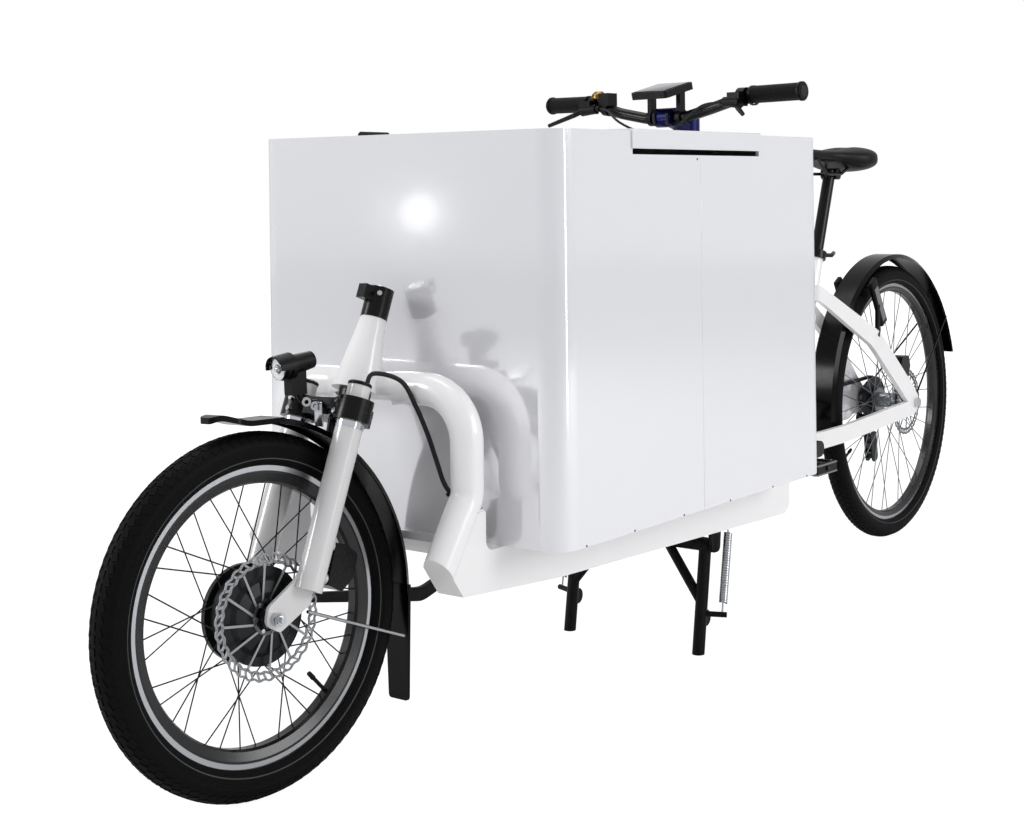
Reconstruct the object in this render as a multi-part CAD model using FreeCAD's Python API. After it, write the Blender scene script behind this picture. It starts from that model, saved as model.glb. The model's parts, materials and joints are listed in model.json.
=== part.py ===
import FreeCAD, Part
import math
import os

# A two-wheeled cargo bike: a closed box sits low between a small steered front wheel and the rider.
# Millimetres. +Z is up, the bike faces -Y, +X is the rider's left.
# Everything is laid out from the front axle (y = 0) and the ground (z = 0). On export it is moved
# back so that the origin is on the ground under the middle of the bike.

V = FreeCAD.Vector

# Wheels and ground
WHEELBASE = 2114.0
FRONT_RIM_R = 210.0
FRONT_RIM_DEPTH = 26.0
FRONT_RIM_W = 32.0
FRONT_TYRE_D = 55.0
FRONT_TYRE_R = FRONT_RIM_R + FRONT_TYRE_D - 7.0
FRONT_FLANGE_R = 69.5
FRONT_FLANGE_X = 21.0
REAR_RIM_R = 286.0
REAR_RIM_DEPTH = 20.0
REAR_RIM_W = 26.0
REAR_TYRE_D = 50.0
REAR_TYRE_R = REAR_RIM_R + REAR_TYRE_D - 7.0
REAR_FLANGE_R = 30.0
REAR_FLANGE_X = 24.0
SPOKES = 36
SPOKE_R = 1.1
AXLE_R = 6.0
FRONT_DISC_R = 90.0
FRONT_DISC_X = 34.0
REAR_DISC_R = 80.0
REAR_DISC_X = 47.0
DISC_T = 2.0
DISC_BORE_R = 16.0

# Box
BOX_W = 620.0
BOX_Y0 = 312.0
BOX_L = 840.0
BOX_Z0 = 324.0
BOX_H = 621.0
BOX_WALL = 6.0
BOX_CORNER = 42.0
BOX_SEAM_Y = BOX_Y0 + 404.0
BOX_TOP = BOX_Z0 + BOX_H
BOX_Y1 = BOX_Y0 + BOX_L
LID_Y0 = BOX_Y0 + 194.0
LID_L = 411.0
LID_Y1 = LID_Y0 + LID_L
LID_T = 3.0
LID_LIP = 31.0
LID_GAP = 0.3
LID_MARGIN = 18.0
SLOT_H = 9.0
SLOT_END = 4.0
HINGE_R = 8.0
HINGE_L = 70.0
HINGE_INSET = 12.0
HINGE_LEAF_T = 3.0

# Steering: a raked front fork, an upright column behind the box, and a rod on the right between them
RAKE = 22.0
FORK_AHEAD = 83.3
LEG_AHEAD = 45.0
PARK_STEER = -7.6
STEER_LOCK = 24.0
COLUMN_RATIO = math.cos(math.radians(RAKE))
COLUMN_Y = BOX_Y1 + 43.0
ROD_ARM = 130.0
ROD_W = 8.0
ROD_FRONT_Z = 245.0
ROD_LOW_Y = 490.0
ROD_LOW_Z = 170.0
ROD_REAR_Z = 246.0

# Fork, measured along the steering axis from its foot abreast of the axle
LEG_X = 62.0
LEG_R = 20.5
LEG_LOW = 48.0
LEG_TOP = 294.0
COLLAR_R = 27.5
COLLAR_TOP = 328.0
UPPER_LEG_R = 16.0
UPPER_LEG_TOP = 352.0
STEERER_R = 14.0
HEAD_LOW = 352.0
HEAD_TOP = 467.0
HEAD_LOW_R = 37.0
HEAD_TOP_R = 20.0
CLAMP_TOP = 515.0
CLAMP_R = 21.0

# Mudguards
FRONT_GUARD_R = FRONT_TYRE_R + 15.0
FRONT_GUARD_HALF = 30.0
REAR_GUARD_R = REAR_TYRE_R + 23.0
REAR_GUARD_END = 71.0
REAR_GUARD_HALF = 32.0
GUARD_FLARE = 14.0
GUARD_T = 3.0

# Load frame under the box
RAIL_X0 = 155.0
RAIL_X1 = 203.0
RAIL_FRONT_Y = 443.0
RAIL_FRONT_Z = 250.0
RAIL_REAR_Y = COLUMN_Y + 20.0
RAIL_REAR_Z = 226.0
ARCH_X = 180.0
ARCH_Y = 254.0
ARCH_Z = 558.0
ARCH_R = 25.0
ARCH_BEND = 74.0
KNEE_Z = 405.0
CROSS_Z0 = 286.0
CROSS_W = 40.0
COVER_Y = 298.0
COVER_T = 4.0

# Rear frame
BB_Y = WHEELBASE - 529.0
BB_Z = 288.0
BB_HALF = 36.0
BB_R = 22.0
BEAM_R = 27.0
COLUMN_TUBE_R = 24.0
COLUMN_TUBE_TOP = BOX_TOP - 15.0
SEAT_TUBE_R = 17.0
SEAT_TOP_Y = BB_Y + 161.0
SEAT_TOP_Z = 705.0
SEATPOST_R = 13.5
SEATPOST_TOP_Z = 888.0
TOP_TUBE_Z = 560.0
STAY_T = 12.0
STAY_H = 35.0
STAY_KINK_Y = WHEELBASE - 196.0
STAY_KINK_Z = REAR_TYRE_R + 171.0
DROPOUT_X = 68.0

# Handlebar
BAR_R = 11.0
BAR_END_X = 316.0
BAR_Z = BOX_TOP + 85.0
GRIP_L = 112.0
GRIP_R = 16.5
CLUSTER_X = 186.0
STEM_Y = COLUMN_Y - 70.0
STEM_Z = BAR_Z - 37.0
SHAFT_R = 14.0

# Stand
STAND_X = 144.0
STAND_Y = 996.0
STAND_Z = 196.0
FOOT_Y = STAND_Y - 30.0
STAND_LEG_R = 11.5
STAND_TAB_Z = 72.0
SPRING_X = 180.0
SPRING_R = 8.5

# Cranks
CRANK_L = 168.0
CRANK_X = 78.0
CRANK_DROP = 3.0
PEDAL_W = 94.0
PEDAL_L = 84.0
RING_R = 76.0
COG_R = 48.0
RING_T = 3.0
CHAIN_X = -47.0
CHAIN_W = 8.0
GUARD_PLATE_R = 58.0

RUN_GAP = 0.3

REAR_REACH = WHEELBASE + (REAR_GUARD_R + 3.0) * math.sin(math.radians(REAR_GUARD_END)) + GUARD_FLARE
FRONT_REACH = -FRONT_TYRE_R
ORIGIN_Y = (REAR_REACH + FRONT_REACH) / 2

AXIS = V(0, math.sin(math.radians(RAKE)), math.cos(math.radians(RAKE)))
AHEAD = V(0, -math.cos(math.radians(RAKE)), math.sin(math.radians(RAKE)))
AXIS_FOOT = V(0, 0, FRONT_TYRE_R) - AHEAD * FORK_AHEAD

nodes = {}
body_of = {}


def add(body, name, shape):
    """Keeps a finished piece under its name and notes the body that carries it."""
    nodes[name] = shape
    body_of[name] = body


def on_fork(x, up, ahead):
    """A point in the fork's own directions: across, along the steering axis, ahead of it."""
    return AXIS_FOOT + V(x, 0, 0) + AXIS * up + AHEAD * ahead


def bar(start, end, radius, end_radius=None):
    """A round bar between two points, tapered when end_radius is given."""
    run = end - start
    if end_radius is None:
        return Part.makeCylinder(radius, run.Length, start, run)
    return Part.makeCone(radius, end_radius, run.Length, start, run)


def rounded_wire(points, radii, closed):
    """Straight runs through the points, with a tangent arc of the given radius at each corner."""
    count = len(points)
    corners = []
    for i in range(count):
        here = points[i]
        at_end = not closed and i in (0, count - 1)
        if at_end or radii[i] <= 0:
            corners.append((here, None, here))
            continue
        before = V(points[i - 1] - here).normalize()
        after = V(points[(i + 1) % count] - here).normalize()
        half = before.getAngle(after) / 2
        reach = radii[i] / math.tan(half)
        inward = V(before + after).normalize()
        middle = here + inward * (radii[i] / math.sin(half) - radii[i])
        corners.append((here + before * reach, middle, here + after * reach))
    edges = []
    for i in range(count):
        start, middle, end = corners[i]
        if middle is not None:
            edges.append(Part.Arc(start, middle, end).toShape())
        if i == count - 1 and not closed:
            break
        following = corners[(i + 1) % count][0]
        if (following - end).Length > 1e-6:
            edges.append(Part.LineSegment(end, following).toShape())
    return Part.Wire(edges)


def swept_bar(points, bends, radius):
    """A round bar along straight runs joined by tangent arcs."""
    path = rounded_wire(points, bends, False)
    circle = Part.Circle(points[0], points[1] - points[0], radius).toShape()
    return path.makePipeShell([Part.Wire(circle)], True, False)


def side_plate(rows, x0, x1):
    """A flat plate seen from the side. Rows are (y, z, corner radius)."""
    points = [V(x0, y, z) for y, z, r in rows]
    wire = rounded_wire(points, [r for y, z, r in rows], True)
    return Part.Face(wire).extrude(V(x1 - x0, 0, 0))


def top_plate(rows, z0, z1):
    """A flat plate seen from above. Rows are (x, y, corner radius)."""
    points = [V(x, y, z0) for x, y, r in rows]
    wire = rounded_wire(points, [r for x, y, r in rows], True)
    return Part.Face(wire).extrude(V(0, 0, z1 - z0))


def front_plate(rows, y0, y1):
    """A flat plate seen from the front. Rows are (x, z, corner radius)."""
    points = [V(x, y0, z) for x, z, r in rows]
    wire = rounded_wire(points, [r for x, z, r in rows], True)
    return Part.Face(wire).extrude(V(0, y1 - y0, 0))


def block(x0, x1, y0, y1, z0, z1):
    """A plain box between two corners."""
    return Part.makeBox(x1 - x0, y1 - y0, z1 - z0, V(x0, y0, z0))


def turned(rows, y, z, angle=360.0):
    """A shape turned about an axle across the bike. Rows are (x, radius)."""
    points = [V(x, y, z + r) for x, r in rows]
    wire = rounded_wire(points, [0] * len(points), True)
    return Part.Face(wire).revolve(V(0, y, z), V(1, 0, 0), angle)


def disc_x(x0, x1, radius, y, z):
    """A round disc or pin across the bike."""
    return Part.makeCylinder(radius, x1 - x0, V(x0, y, z), V(1, 0, 0))


def mirrored(shape):
    """The same piece on the other side of the bike."""
    return shape.mirror(V(0, 0, 0), V(1, 0, 0))


def joined(shapes):
    """Several shapes made one solid."""
    return shapes[0].multiFuse(shapes[1:]).removeSplitter()


def group(shapes):
    """Like pieces that don't touch, kept together."""
    return Part.makeCompound(shapes)


def rail_bottom(y):
    """The height of the rail's straight lower edge."""
    fall = (RAIL_FRONT_Z - RAIL_REAR_Z) / (RAIL_REAR_Y - RAIL_FRONT_Y)
    return RAIL_FRONT_Z - fall * (y - RAIL_FRONT_Y)


def tyre(y, z, radius, section, seat):
    """A tyre on its rim, its section drawn with short flats."""
    half = section / 2
    middle = radius - half
    start = math.degrees(math.asin((middle - seat) / half))
    rows = []
    steps = 9
    step = math.radians((180 + 2 * start) / steps)
    reach = half / math.cos(step / 2)
    for k in range(steps + 1):
        turn = math.radians(-start) + step * k
        rows.append((half * math.cos(turn), max(seat, middle + reach * math.sin(turn))))
    return turned(rows, y, z)


def rim(y, z, outer, inner, width):
    """A box-section rim with a flat brake band and a tapered spoke bed."""
    half = width / 2
    band = outer - 11.0
    rows = [(-half, outer), (-half, band), (-half * 0.75, inner + 3.0), (-half * 0.45, inner)]
    rows += [(-x, r) for x, r in reversed(rows)]
    return turned(rows, y, z)


def spoked_hub(y, z, shell_rows, flange_r, flange_x, rim_inner, cross, lace):
    """A hub shell with its flanges and laced spokes, made one piece.

    cross is how far round the flange each spoke leans, in degrees, and lace how far the
    crossing spokes stand apart on the flange.
    """
    pieces = [turned(shell_rows, y, z)]
    spokes = []
    for k in range(SPOKES):
        side = 1 if k % 2 else -1
        lean = cross if (k // 2) % 2 else -cross
        at_rim = math.radians(360.0 * k / SPOKES)
        at_hub = at_rim + math.radians(lean)
        x_hub = side * flange_x + (lace if lean > 0 else -lace)
        inside = flange_r - 6.0
        start = V(x_hub, y + inside * math.sin(at_hub), z + inside * math.cos(at_hub))
        reach = rim_inner + 6.0
        end = V(side * 3.0, y + reach * math.sin(at_rim), z + reach * math.cos(at_rim))
        run = end - start
        side_dir = V(1, 0, 0).cross(run).normalize()
        other = V(run).normalize().cross(side_dir)
        corners = []
        for c in range(6):
            turn = math.radians(60 * c)
            corners.append(
                start + side_dir * (SPOKE_R * math.cos(turn)) + other * (SPOKE_R * math.sin(turn))
            )
        spokes.append(Part.Face(Part.makePolygon(corners + corners[:1])).extrude(run))
    inside_rim = disc_x(-40.0, 40.0, rim_inner, y, z)
    spokes = [s.common(inside_rim) for s in spokes]
    return joined(pieces + spokes)


def brake_disc(x, radius, bore, y, z, arms):
    """A brake disc: a ring on curved arms round a hub ring."""
    band = 15.0
    pieces = [disc_x(x, x + DISC_T, radius, y, z).cut(disc_x(x - 1, x + DISC_T + 1, radius - band, y, z))]
    hub_r = bore + 8.0
    pieces.append(disc_x(x, x + DISC_T, hub_r, y, z).cut(disc_x(x - 1, x + DISC_T + 1, bore, y, z)))
    for k in range(arms):
        turn = math.radians(360.0 * k / arms)
        lean = math.radians(28.0)
        a = V(x, y + (hub_r - 2) * math.sin(turn), z + (hub_r - 2) * math.cos(turn))
        b = V(
            x, y + (radius - band + 2) * math.sin(turn + lean),
            z + (radius - band + 2) * math.cos(turn + lean)
        )
        across = V(1, 0, 0).cross(b - a).normalize() * 2.5
        face = Part.Face(Part.makePolygon([a + across, b + across, b - across, a - across, a + across]))
        pieces.append(face.extrude(V(DISC_T, 0, 0)))
    return joined(pieces)


def guard(y, z, radius, half, start, end):
    """A mudguard: a shallow channel bent round the wheel. Angles in degrees, 0 straight up, + rearwards."""
    rows = [(-half, radius - 9), (-half * 0.8, radius), (half * 0.8, radius), (half, radius - 9)]
    rows += [(half - GUARD_T, radius - 9), (half * 0.8 - 2, radius - GUARD_T)]
    rows += [(-half * 0.8 + 2, radius - GUARD_T), (-half + GUARD_T, radius - 9)]
    shape = turned(rows, y, z, end - start)
    shape.rotate(V(0, y, z), V(1, 0, 0), -start - (end - start))
    return shape


def front_wheel():
    """The small steered wheel with its hub motor."""
    z = FRONT_TYRE_R
    add("front_wheel", "front_tyre", tyre(0, z, FRONT_TYRE_R, FRONT_TYRE_D, FRONT_RIM_R))
    add("front_wheel", "front_rim", rim(0, z, FRONT_RIM_R, FRONT_RIM_R - FRONT_RIM_DEPTH, FRONT_RIM_W))
    fx = FRONT_FLANGE_X
    fr = FRONT_FLANGE_R
    seat = FRONT_DISC_X
    shell = [
        (-48, AXLE_R + RUN_GAP), (-48, 20), (-seat, 24), (-30, 52), (-fx - 4, 58), (-fx - 4, fr),
        (-fx + 4, fr), (-fx + 4, 62)
    ]
    shell += [
        (fx - 4, 62), (fx - 4, fr), (fx + 4, fr), (fx + 4, 56), (seat - 3, 50), (seat, 34),
        (seat, DISC_BORE_R)
    ]
    shell += [(48, DISC_BORE_R), (48, AXLE_R + RUN_GAP)]
    motor = spoked_hub(0, z, shell, fr, fx, FRONT_RIM_R - FRONT_RIM_DEPTH, 34.0, 2.0)
    add("front_wheel", "front_hub", motor)
    add("front_wheel", "front_disc", brake_disc(FRONT_DISC_X, FRONT_DISC_R, DISC_BORE_R, 0, z, 12))


def rear_wheel():
    """The large driven wheel with its sprockets and brake disc."""
    y = WHEELBASE
    z = REAR_TYRE_R
    add("rear_wheel", "rear_tyre", tyre(y, z, REAR_TYRE_R, REAR_TYRE_D, REAR_RIM_R))
    add("rear_wheel", "rear_rim", rim(y, z, REAR_RIM_R, REAR_RIM_R - REAR_RIM_DEPTH, REAR_RIM_W))
    fx = REAR_FLANGE_X
    fr = REAR_FLANGE_R
    shell = [
        (-fx - 4, 14), (-fx - 4, fr), (-fx + 4, fr), (-fx + 4, 18), (fx - 4, 18), (fx - 4, fr), (fx + 4, fr),
        (fx + 4, 17)
    ]
    seat = REAR_DISC_X
    shell += [
        (seat - 4, 17), (seat - 4, 24), (seat, 24), (seat, DISC_BORE_R), (56, DISC_BORE_R),
        (56, AXLE_R + RUN_GAP)
    ]
    shell += [(-60, AXLE_R + RUN_GAP), (-60, 12.5), (-30.5, 12.5), (-30.5, 14)]
    hub = spoked_hub(y, z, shell, fr, fx, REAR_RIM_R - REAR_RIM_DEPTH, 62.0, 1.6)
    add("rear_wheel", "rear_hub", hub)
    add("rear_wheel", "rear_disc", brake_disc(REAR_DISC_X, REAR_DISC_R, DISC_BORE_R, y, z, 10))
    cog_rows = [(-30.5, 12.5), (-30.5, 56)]
    for x, r in [(-33, 56), (-37, 53), (-41, 50), (-45, 47), (-49, 43), (-53, 39), (-57, 35)]:
        cog_rows += [(x + 2.0, r), (x - 2.0, r)]
    cog_rows += [(-60, 34), (-60, 12.5)]
    add("rear_wheel", "cassette", turned(cog_rows, y, z))



def dropout_plate(side):
    """The front end's leading plate that carries the axle, from the leg's foot forward and down."""
    x0 = LEG_X - 12.0
    rows = []
    for up, ahead, r in [
        (-13, 97, 12), (-17, 70, 10), (30, 30, 6), (96, 32, 8), (98, 52, 6), (58, 66, 12), (12, 101, 14)
    ]:
        p = on_fork(0, up, ahead)
        rows.append((p.y, p.z, r))
    plate = side_plate(rows, x0, x0 + 6.0)
    return plate if side > 0 else mirrored(plate)


def fork():
    """Everything that turns with the front wheel, drawn pointing straight ahead."""
    legs = []
    for side in (1, -1):
        leg = bar(
            on_fork(side * LEG_X, LEG_LOW, LEG_AHEAD), on_fork(side * LEG_X, LEG_TOP, LEG_AHEAD), LEG_R
        )
        plate = dropout_plate(side)
        x_in = side * (LEG_X - 12.0)
        boss = Part.makeCylinder(11.0, 6.0, V(min(x_in, x_in + side * 6.0), 0, FRONT_TYRE_R), V(1, 0, 0))
        pieces = [leg, plate, boss]
        if side > 0:
            pieces += caliper_tabs()
        legs.append(joined(pieces))
    axle = disc_x(-LEG_X - 2, LEG_X + 2, AXLE_R, 0, FRONT_TYRE_R)
    spacer = disc_x(-LEG_X + 12, -48 - RUN_GAP, AXLE_R + 5, 0, FRONT_TYRE_R)
    nut_l = disc_x(LEG_X - 6, LEG_X + 4, 10.0, 0, FRONT_TYRE_R)
    nut_r = disc_x(-LEG_X - 4, -LEG_X + 6, 10.0, 0, FRONT_TYRE_R)
    axle = joined([axle, nut_l, nut_r, spacer, mirrored(spacer)])
    add("fork", "fork_legs", group([leg.cut(axle) for leg in legs]))
    add("fork", "front_axle", axle)
    crown_pieces = []
    for side in (1, -1):
        x = side * LEG_X
        crown_pieces.append(bar(on_fork(x, LEG_TOP, LEG_AHEAD), on_fork(x, COLLAR_TOP, LEG_AHEAD), COLLAR_R))
        crown_pieces.append(
            bar(on_fork(x, COLLAR_TOP, LEG_AHEAD), on_fork(x, UPPER_LEG_TOP, LEG_AHEAD), UPPER_LEG_R)
        )
    bridge_rows = [
        (-LEG_X, LEG_AHEAD + 14), (LEG_X, LEG_AHEAD + 14), (LEG_X, LEG_AHEAD - 16), (26, -24), (-26, -24),
        (-LEG_X, LEG_AHEAD - 16)
    ]
    low = LEG_TOP + 6.0
    corners = [on_fork(x, low, a) for x, a in bridge_rows]
    bridge = Part.Face(Part.makePolygon(corners + corners[:1])).extrude(AXIS * (COLLAR_TOP - LEG_TOP - 8.0))
    crown_pieces.append(bridge)
    crown_pieces.append(bar(on_fork(0, COLLAR_TOP - 6.0, 0), on_fork(0, HEAD_LOW - RUN_GAP, 0), 25.0))
    crown_pieces.append(bar(on_fork(0, COLLAR_TOP, 0), on_fork(0, CLAMP_TOP - 4.0, 0), STEERER_R))
    add("fork", "fork_crown", joined(crown_pieces))
    clamp_low = HEAD_TOP + RUN_GAP
    clamp = bar(on_fork(0, clamp_low, 0), on_fork(0, CLAMP_TOP, 0), CLAMP_R)
    ear = block(-9, 9, -CLAMP_R - 16, -CLAMP_R + 4, -13, 9)
    ear.rotate(V(0, 0, 0), V(1, 0, 0), -RAKE)
    ear.translate(on_fork(0, CLAMP_TOP - 12.0, 0))
    clamp = joined([clamp, ear])
    clamp = clamp.cut(bar(on_fork(0, clamp_low - 5, 0), on_fork(0, CLAMP_TOP - 4.0, 0), STEERER_R))
    add("fork", "steerer_clamp", clamp)
    fork_guard()
    lamp()
    front_caliper()
    steering_arm()


def caliper_tabs():
    """Two cast lugs on the left leg for the brake caliper."""
    tabs = []
    for up in (70.0, 116.0):
        start = on_fork(LEG_X, up, LEG_AHEAD)
        end = on_fork(LEG_X, up, LEG_AHEAD - 40.0)
        tabs.append(bar(start, end, 7.0))
    return tabs


def front_caliper():
    """The front brake caliper behind the left leg, slotted over the disc."""
    rows = []
    for up, ahead, r in [(62, 19, 6), (58, -10, 8), (84, -26, 10), (116, -22, 8), (124, 4, 8), (122, 22, 4)]:
        p = on_fork(0, up, ahead)
        rows.append((p.y, p.z, r))
    body = side_plate(rows, FRONT_DISC_X - 5.5, LEG_X + 8.0)
    slot = disc_x(FRONT_DISC_X - 2.0, FRONT_DISC_X + DISC_T + 2.0, FRONT_DISC_R + 4.0, 0, FRONT_TYRE_R)
    body = body.cut(slot)
    legs = nodes["fork_legs"]
    add("fork", "front_caliper", body.cut(legs))


def steering_arm():
    """The arm on the right leg's foot with the upright stud that the rod's eye goes over."""
    start = on_fork(-LEG_X, LEG_LOW + 26.0, LEG_AHEAD - 4.0)
    stud_at = rod_front_point()
    bend = V(-LEG_X - 34.0, start.y + 26.0, start.z - 2.0)
    low = stud_at + V(0, 0, 16.0)
    tip = Part.makeCylinder(11.0, 10.0, stud_at + V(0, 0, 9.0))
    stud = Part.makeCylinder(4.0, 21.0, stud_at + V(0, 0, -11.0))
    washer = Part.makeCylinder(6.5, 3.0, stud_at + V(0, 0, -14.0))
    elbow = Part.makeCylinder(9.0, 18.0, bend + V(0, 0, -9.0))
    arm = joined(
        [bar(start, bend, 8.0), bar(bend, low, 8.0), elbow, tip, stud, washer]
    ).cut(nodes["fork_legs"])
    add("fork", "fork_arm", max(arm.Solids, key=lambda s: s.Volume))


def rod_front_point():
    """Where the rod's front eye sits, abreast of the steering axis."""
    up = (ROD_FRONT_Z - AXIS_FOOT.z) / AXIS.z
    return on_fork(-ROD_ARM, up, 0)


def fork_guard():
    """The front mudguard with its straight front blade, rear flap, crown bracket and side stay."""
    z = FRONT_TYRE_R
    r0 = FRONT_GUARD_R + 3.5
    sheet = guard(0, z, FRONT_GUARD_R + 5, FRONT_GUARD_HALF, 9.0, 94.0)
    root_y = r0 * math.sin(math.radians(10.0))
    root_z = z + r0 * math.cos(math.radians(10.0))
    side_rows = [
        (
            root_y + 4, root_z + 2, 0
        ), (root_y + 4, root_z - 6, 0), (-8, root_z - 5, 60), (-52, root_z + 8, 30),
        (-66, root_z + 4, 0), (-66, root_z + 13, 0), (-50, root_z + 16, 30), (-8, root_z + 3, 60),
    ]
    half = FRONT_GUARD_HALF - 2.0
    blade_plan = [
        (-half, root_y + 6, 0), (half, root_y + 6, 0), (half - 2, -20, 60), (14, -66, 8), (-14, -66, 8),
        (2 - half, -20, 60)
    ]
    blade = side_plate(side_rows, -half, half).common(top_plate(blade_plan, root_z - 30, root_z + 40))
    end_y = r0 * math.sin(math.radians(93.0))
    end_z = z + r0 * math.cos(math.radians(93.0))
    flap_side = side_plate(
        [(end_y - 3, end_z + 8, 0), (end_y + 2, end_z + 8, 0), (end_y - 6, 76, 0), (end_y - 10, 76, 0)],
        -34.0, 34.0
    )
    flap_face = front_plate(
        [(-half, end_z + 10, 0), (half, end_z + 10, 0), (22, 76, 6), (-22, 76, 6)], 200, 320
    )
    flap = flap_side.common(flap_face)
    bracket_top = on_fork(0, LEG_TOP + 6.0, 30.0)
    bracket_y = bracket_top.y - 8.0
    bracket_low = V(0, bracket_y, z + math.sqrt((FRONT_GUARD_R + 4) ** 2 - bracket_y ** 2) - 1)
    strap = bar(bracket_top, bracket_low, 6.0)
    wire = bar(on_fork(LEG_X - 8, 20, 30), V(half - 1, 258, 178), 2.2)
    sheet = joined([sheet, blade, flap, strap, wire])
    sheet = sheet.cut(nodes["fork_crown"]).cut(nodes["fork_legs"])
    add("fork", "front_guard", max(sheet.Solids, key=lambda s: s.Volume))


def lamp():
    """The hooded head lamp on its bent steel strap."""
    front = on_fork(0, 341, 150)
    back = on_fork(0, 372, 97)
    run = V(back - front).normalize()
    shell = bar(front, back, 17.0, 13.0)
    hood = bar(front - run * 8, front + run * 22, 20.0).cut(bar(front - run * 10, front + run * 22, 18.0))
    under_hood = block(-30, 30, front.y - 40, front.y + 14, front.z - 60, front.z - 2)
    hood = hood.cut(under_hood)
    foot = block(-9, 9, front.y + 16, front.y + 44, front.z - 40, front.z - 6)
    crown = on_fork(0, COLLAR_TOP - 8.0, 40.0)
    elbow = V(0, front.y + 40, front.z - 50)
    strap = joined([bar(V(0, front.y + 32, front.z - 36), elbow, 4.0), bar(elbow, crown, 4.0)])
    shape = joined([shell, hood, foot, strap]).cut(nodes["fork_crown"])
    add("fork", "lamp", max(shape.Solids, key=lambda s: s.Volume))


def box():
    """The load box: two sheet shells that meet in the middle, a floor and an opening in the roof."""
    half = BOX_W / 2

    def plan(inset, z0, z1):
        corner = BOX_CORNER - inset
        a = half - inset
        rows = [
            (-a, BOX_Y0 + inset, corner), (a, BOX_Y0 + inset, corner), (a, BOX_Y1 - inset, corner),
            (-a, BOX_Y1 - inset, corner)
        ]
        return top_plate(rows, z0, z1)

    shell = plan(0, BOX_Z0, BOX_TOP).cut(plan(BOX_WALL, BOX_Z0 - 1, BOX_TOP - BOX_WALL))
    mouth = block(
        -half + 40, half - LID_MARGIN, LID_Y0 + LID_MARGIN, LID_Y1 - LID_MARGIN, BOX_TOP - 20, BOX_TOP + 5
    )
    slot_z = BOX_TOP + LID_GAP - LID_LIP + LID_T
    slot = block(
        half - BOX_WALL - 2, half + 5, LID_Y0 + SLOT_END, LID_Y1 - SLOT_END, slot_z - SLOT_H, slot_z
    )
    shell = shell.cut(mouth).cut(slot)
    front_half = block(-half - 10, half + 10, BOX_Y0 - 10, BOX_SEAM_Y, BOX_Z0 - 10, BOX_TOP + 10)
    add("frame", "box_front", shell.common(front_half))
    add("frame", "box_rear", shell.cut(front_half))
    add("frame", "box_floor", plan(BOX_WALL, BOX_Z0, BOX_Z0 + 8.0))


def hinge_axis():
    """The lid's hinge line: x and z."""
    return -BOX_W / 2 + HINGE_INSET, BOX_TOP + 10.0


def lid():
    """The lid with its turned-down lip, and its two hinges on the right-hand edge of the roof."""
    half = BOX_W / 2
    top = BOX_TOP + LID_GAP
    hx, hz = hinge_axis()
    x0 = hx + 16.0
    outer = half + LID_GAP + LID_T
    rows = [(x0, top, 0), (outer - LID_T, top, 0), (outer - LID_T, top + LID_T - LID_LIP, 0)]
    rows += [(outer, top + LID_T - LID_LIP, 0), (outer, top + LID_T, 4.0), (x0, top + LID_T, 0)]
    add("lid", "lid", front_plate(rows, LID_Y0, LID_Y1))
    moving = []
    fixed = []
    third = HINGE_L / 3
    for y in (LID_Y0 + 48.0, LID_Y1 - 48.0 - HINGE_L):
        pin = Part.makeCylinder(2.5, HINGE_L, V(hx, y, hz), V(0, 1, 0))
        outer_a = Part.makeCylinder(HINGE_R, third - RUN_GAP, V(hx, y, hz), V(0, 1, 0))
        outer_b = Part.makeCylinder(HINGE_R, third - RUN_GAP, V(hx, y + 2 * third + RUN_GAP, hz), V(0, 1, 0))
        roof = BOX_TOP
        leaf_a = block(-half + 2, hx, y, y + third - RUN_GAP, roof, roof + HINGE_LEAF_T)
        leaf_b = block(-half + 2, hx, y + 2 * third + RUN_GAP, y + HINGE_L, roof, roof + HINGE_LEAF_T)
        fixed.append(joined([pin, outer_a, outer_b, leaf_a, leaf_b]))
        knuckle = Part.makeCylinder(HINGE_R, third, V(hx, y + third, hz), V(0, 1, 0))
        leaf_z = top + LID_T
        leaf = block(hx, hx + 50.0, y + third, y + 2 * third, leaf_z, leaf_z + HINGE_LEAF_T)
        wide = block(hx + 18.0, hx + 50.0, y, y + HINGE_L, leaf_z, leaf_z + HINGE_LEAF_T)
        bore = Part.makeCylinder(2.5 + 0.1, HINGE_L, V(hx, y, hz), V(0, 1, 0))
        moving.append(joined([knuckle, leaf, wide]).cut(bore))
    add("frame", "hinge_brackets", group(fixed))
    add("lid", "lid_hinges", group(moving))


def arch_tube():
    """One side's frame tube, from the head down past the knee to its flat, slanting end."""
    low = V(ARCH_X, ARCH_Y - 80, KNEE_Z - 117)
    points = [
        V(0, ARCH_Y - 26, ARCH_Z - 4), V(70, ARCH_Y, ARCH_Z), V(ARCH_X, ARCH_Y, ARCH_Z),
        V(ARCH_X, ARCH_Y, KNEE_Z), low
    ]
    tube = swept_bar(points, [0, 60, ARCH_BEND, 40, 0], ARCH_R)
    cap_top = V(0, ARCH_Y - 87, KNEE_Z - 75)
    cap_low = V(0, ARCH_Y - 40, KNEE_Z - 138)
    along = V(cap_low - cap_top).normalize()
    out = V(0, along.z, -along.y)
    corners = [
        cap_top - along * 60, cap_low + along * 60, cap_low + along * 60 + out * 90,
        cap_top - along * 60 + out * 90
    ]
    beyond = side_plate([(p.y, p.z, 0) for p in corners], RAIL_X0 - 60, RAIL_X1 + 60)
    return tube, beyond


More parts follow.
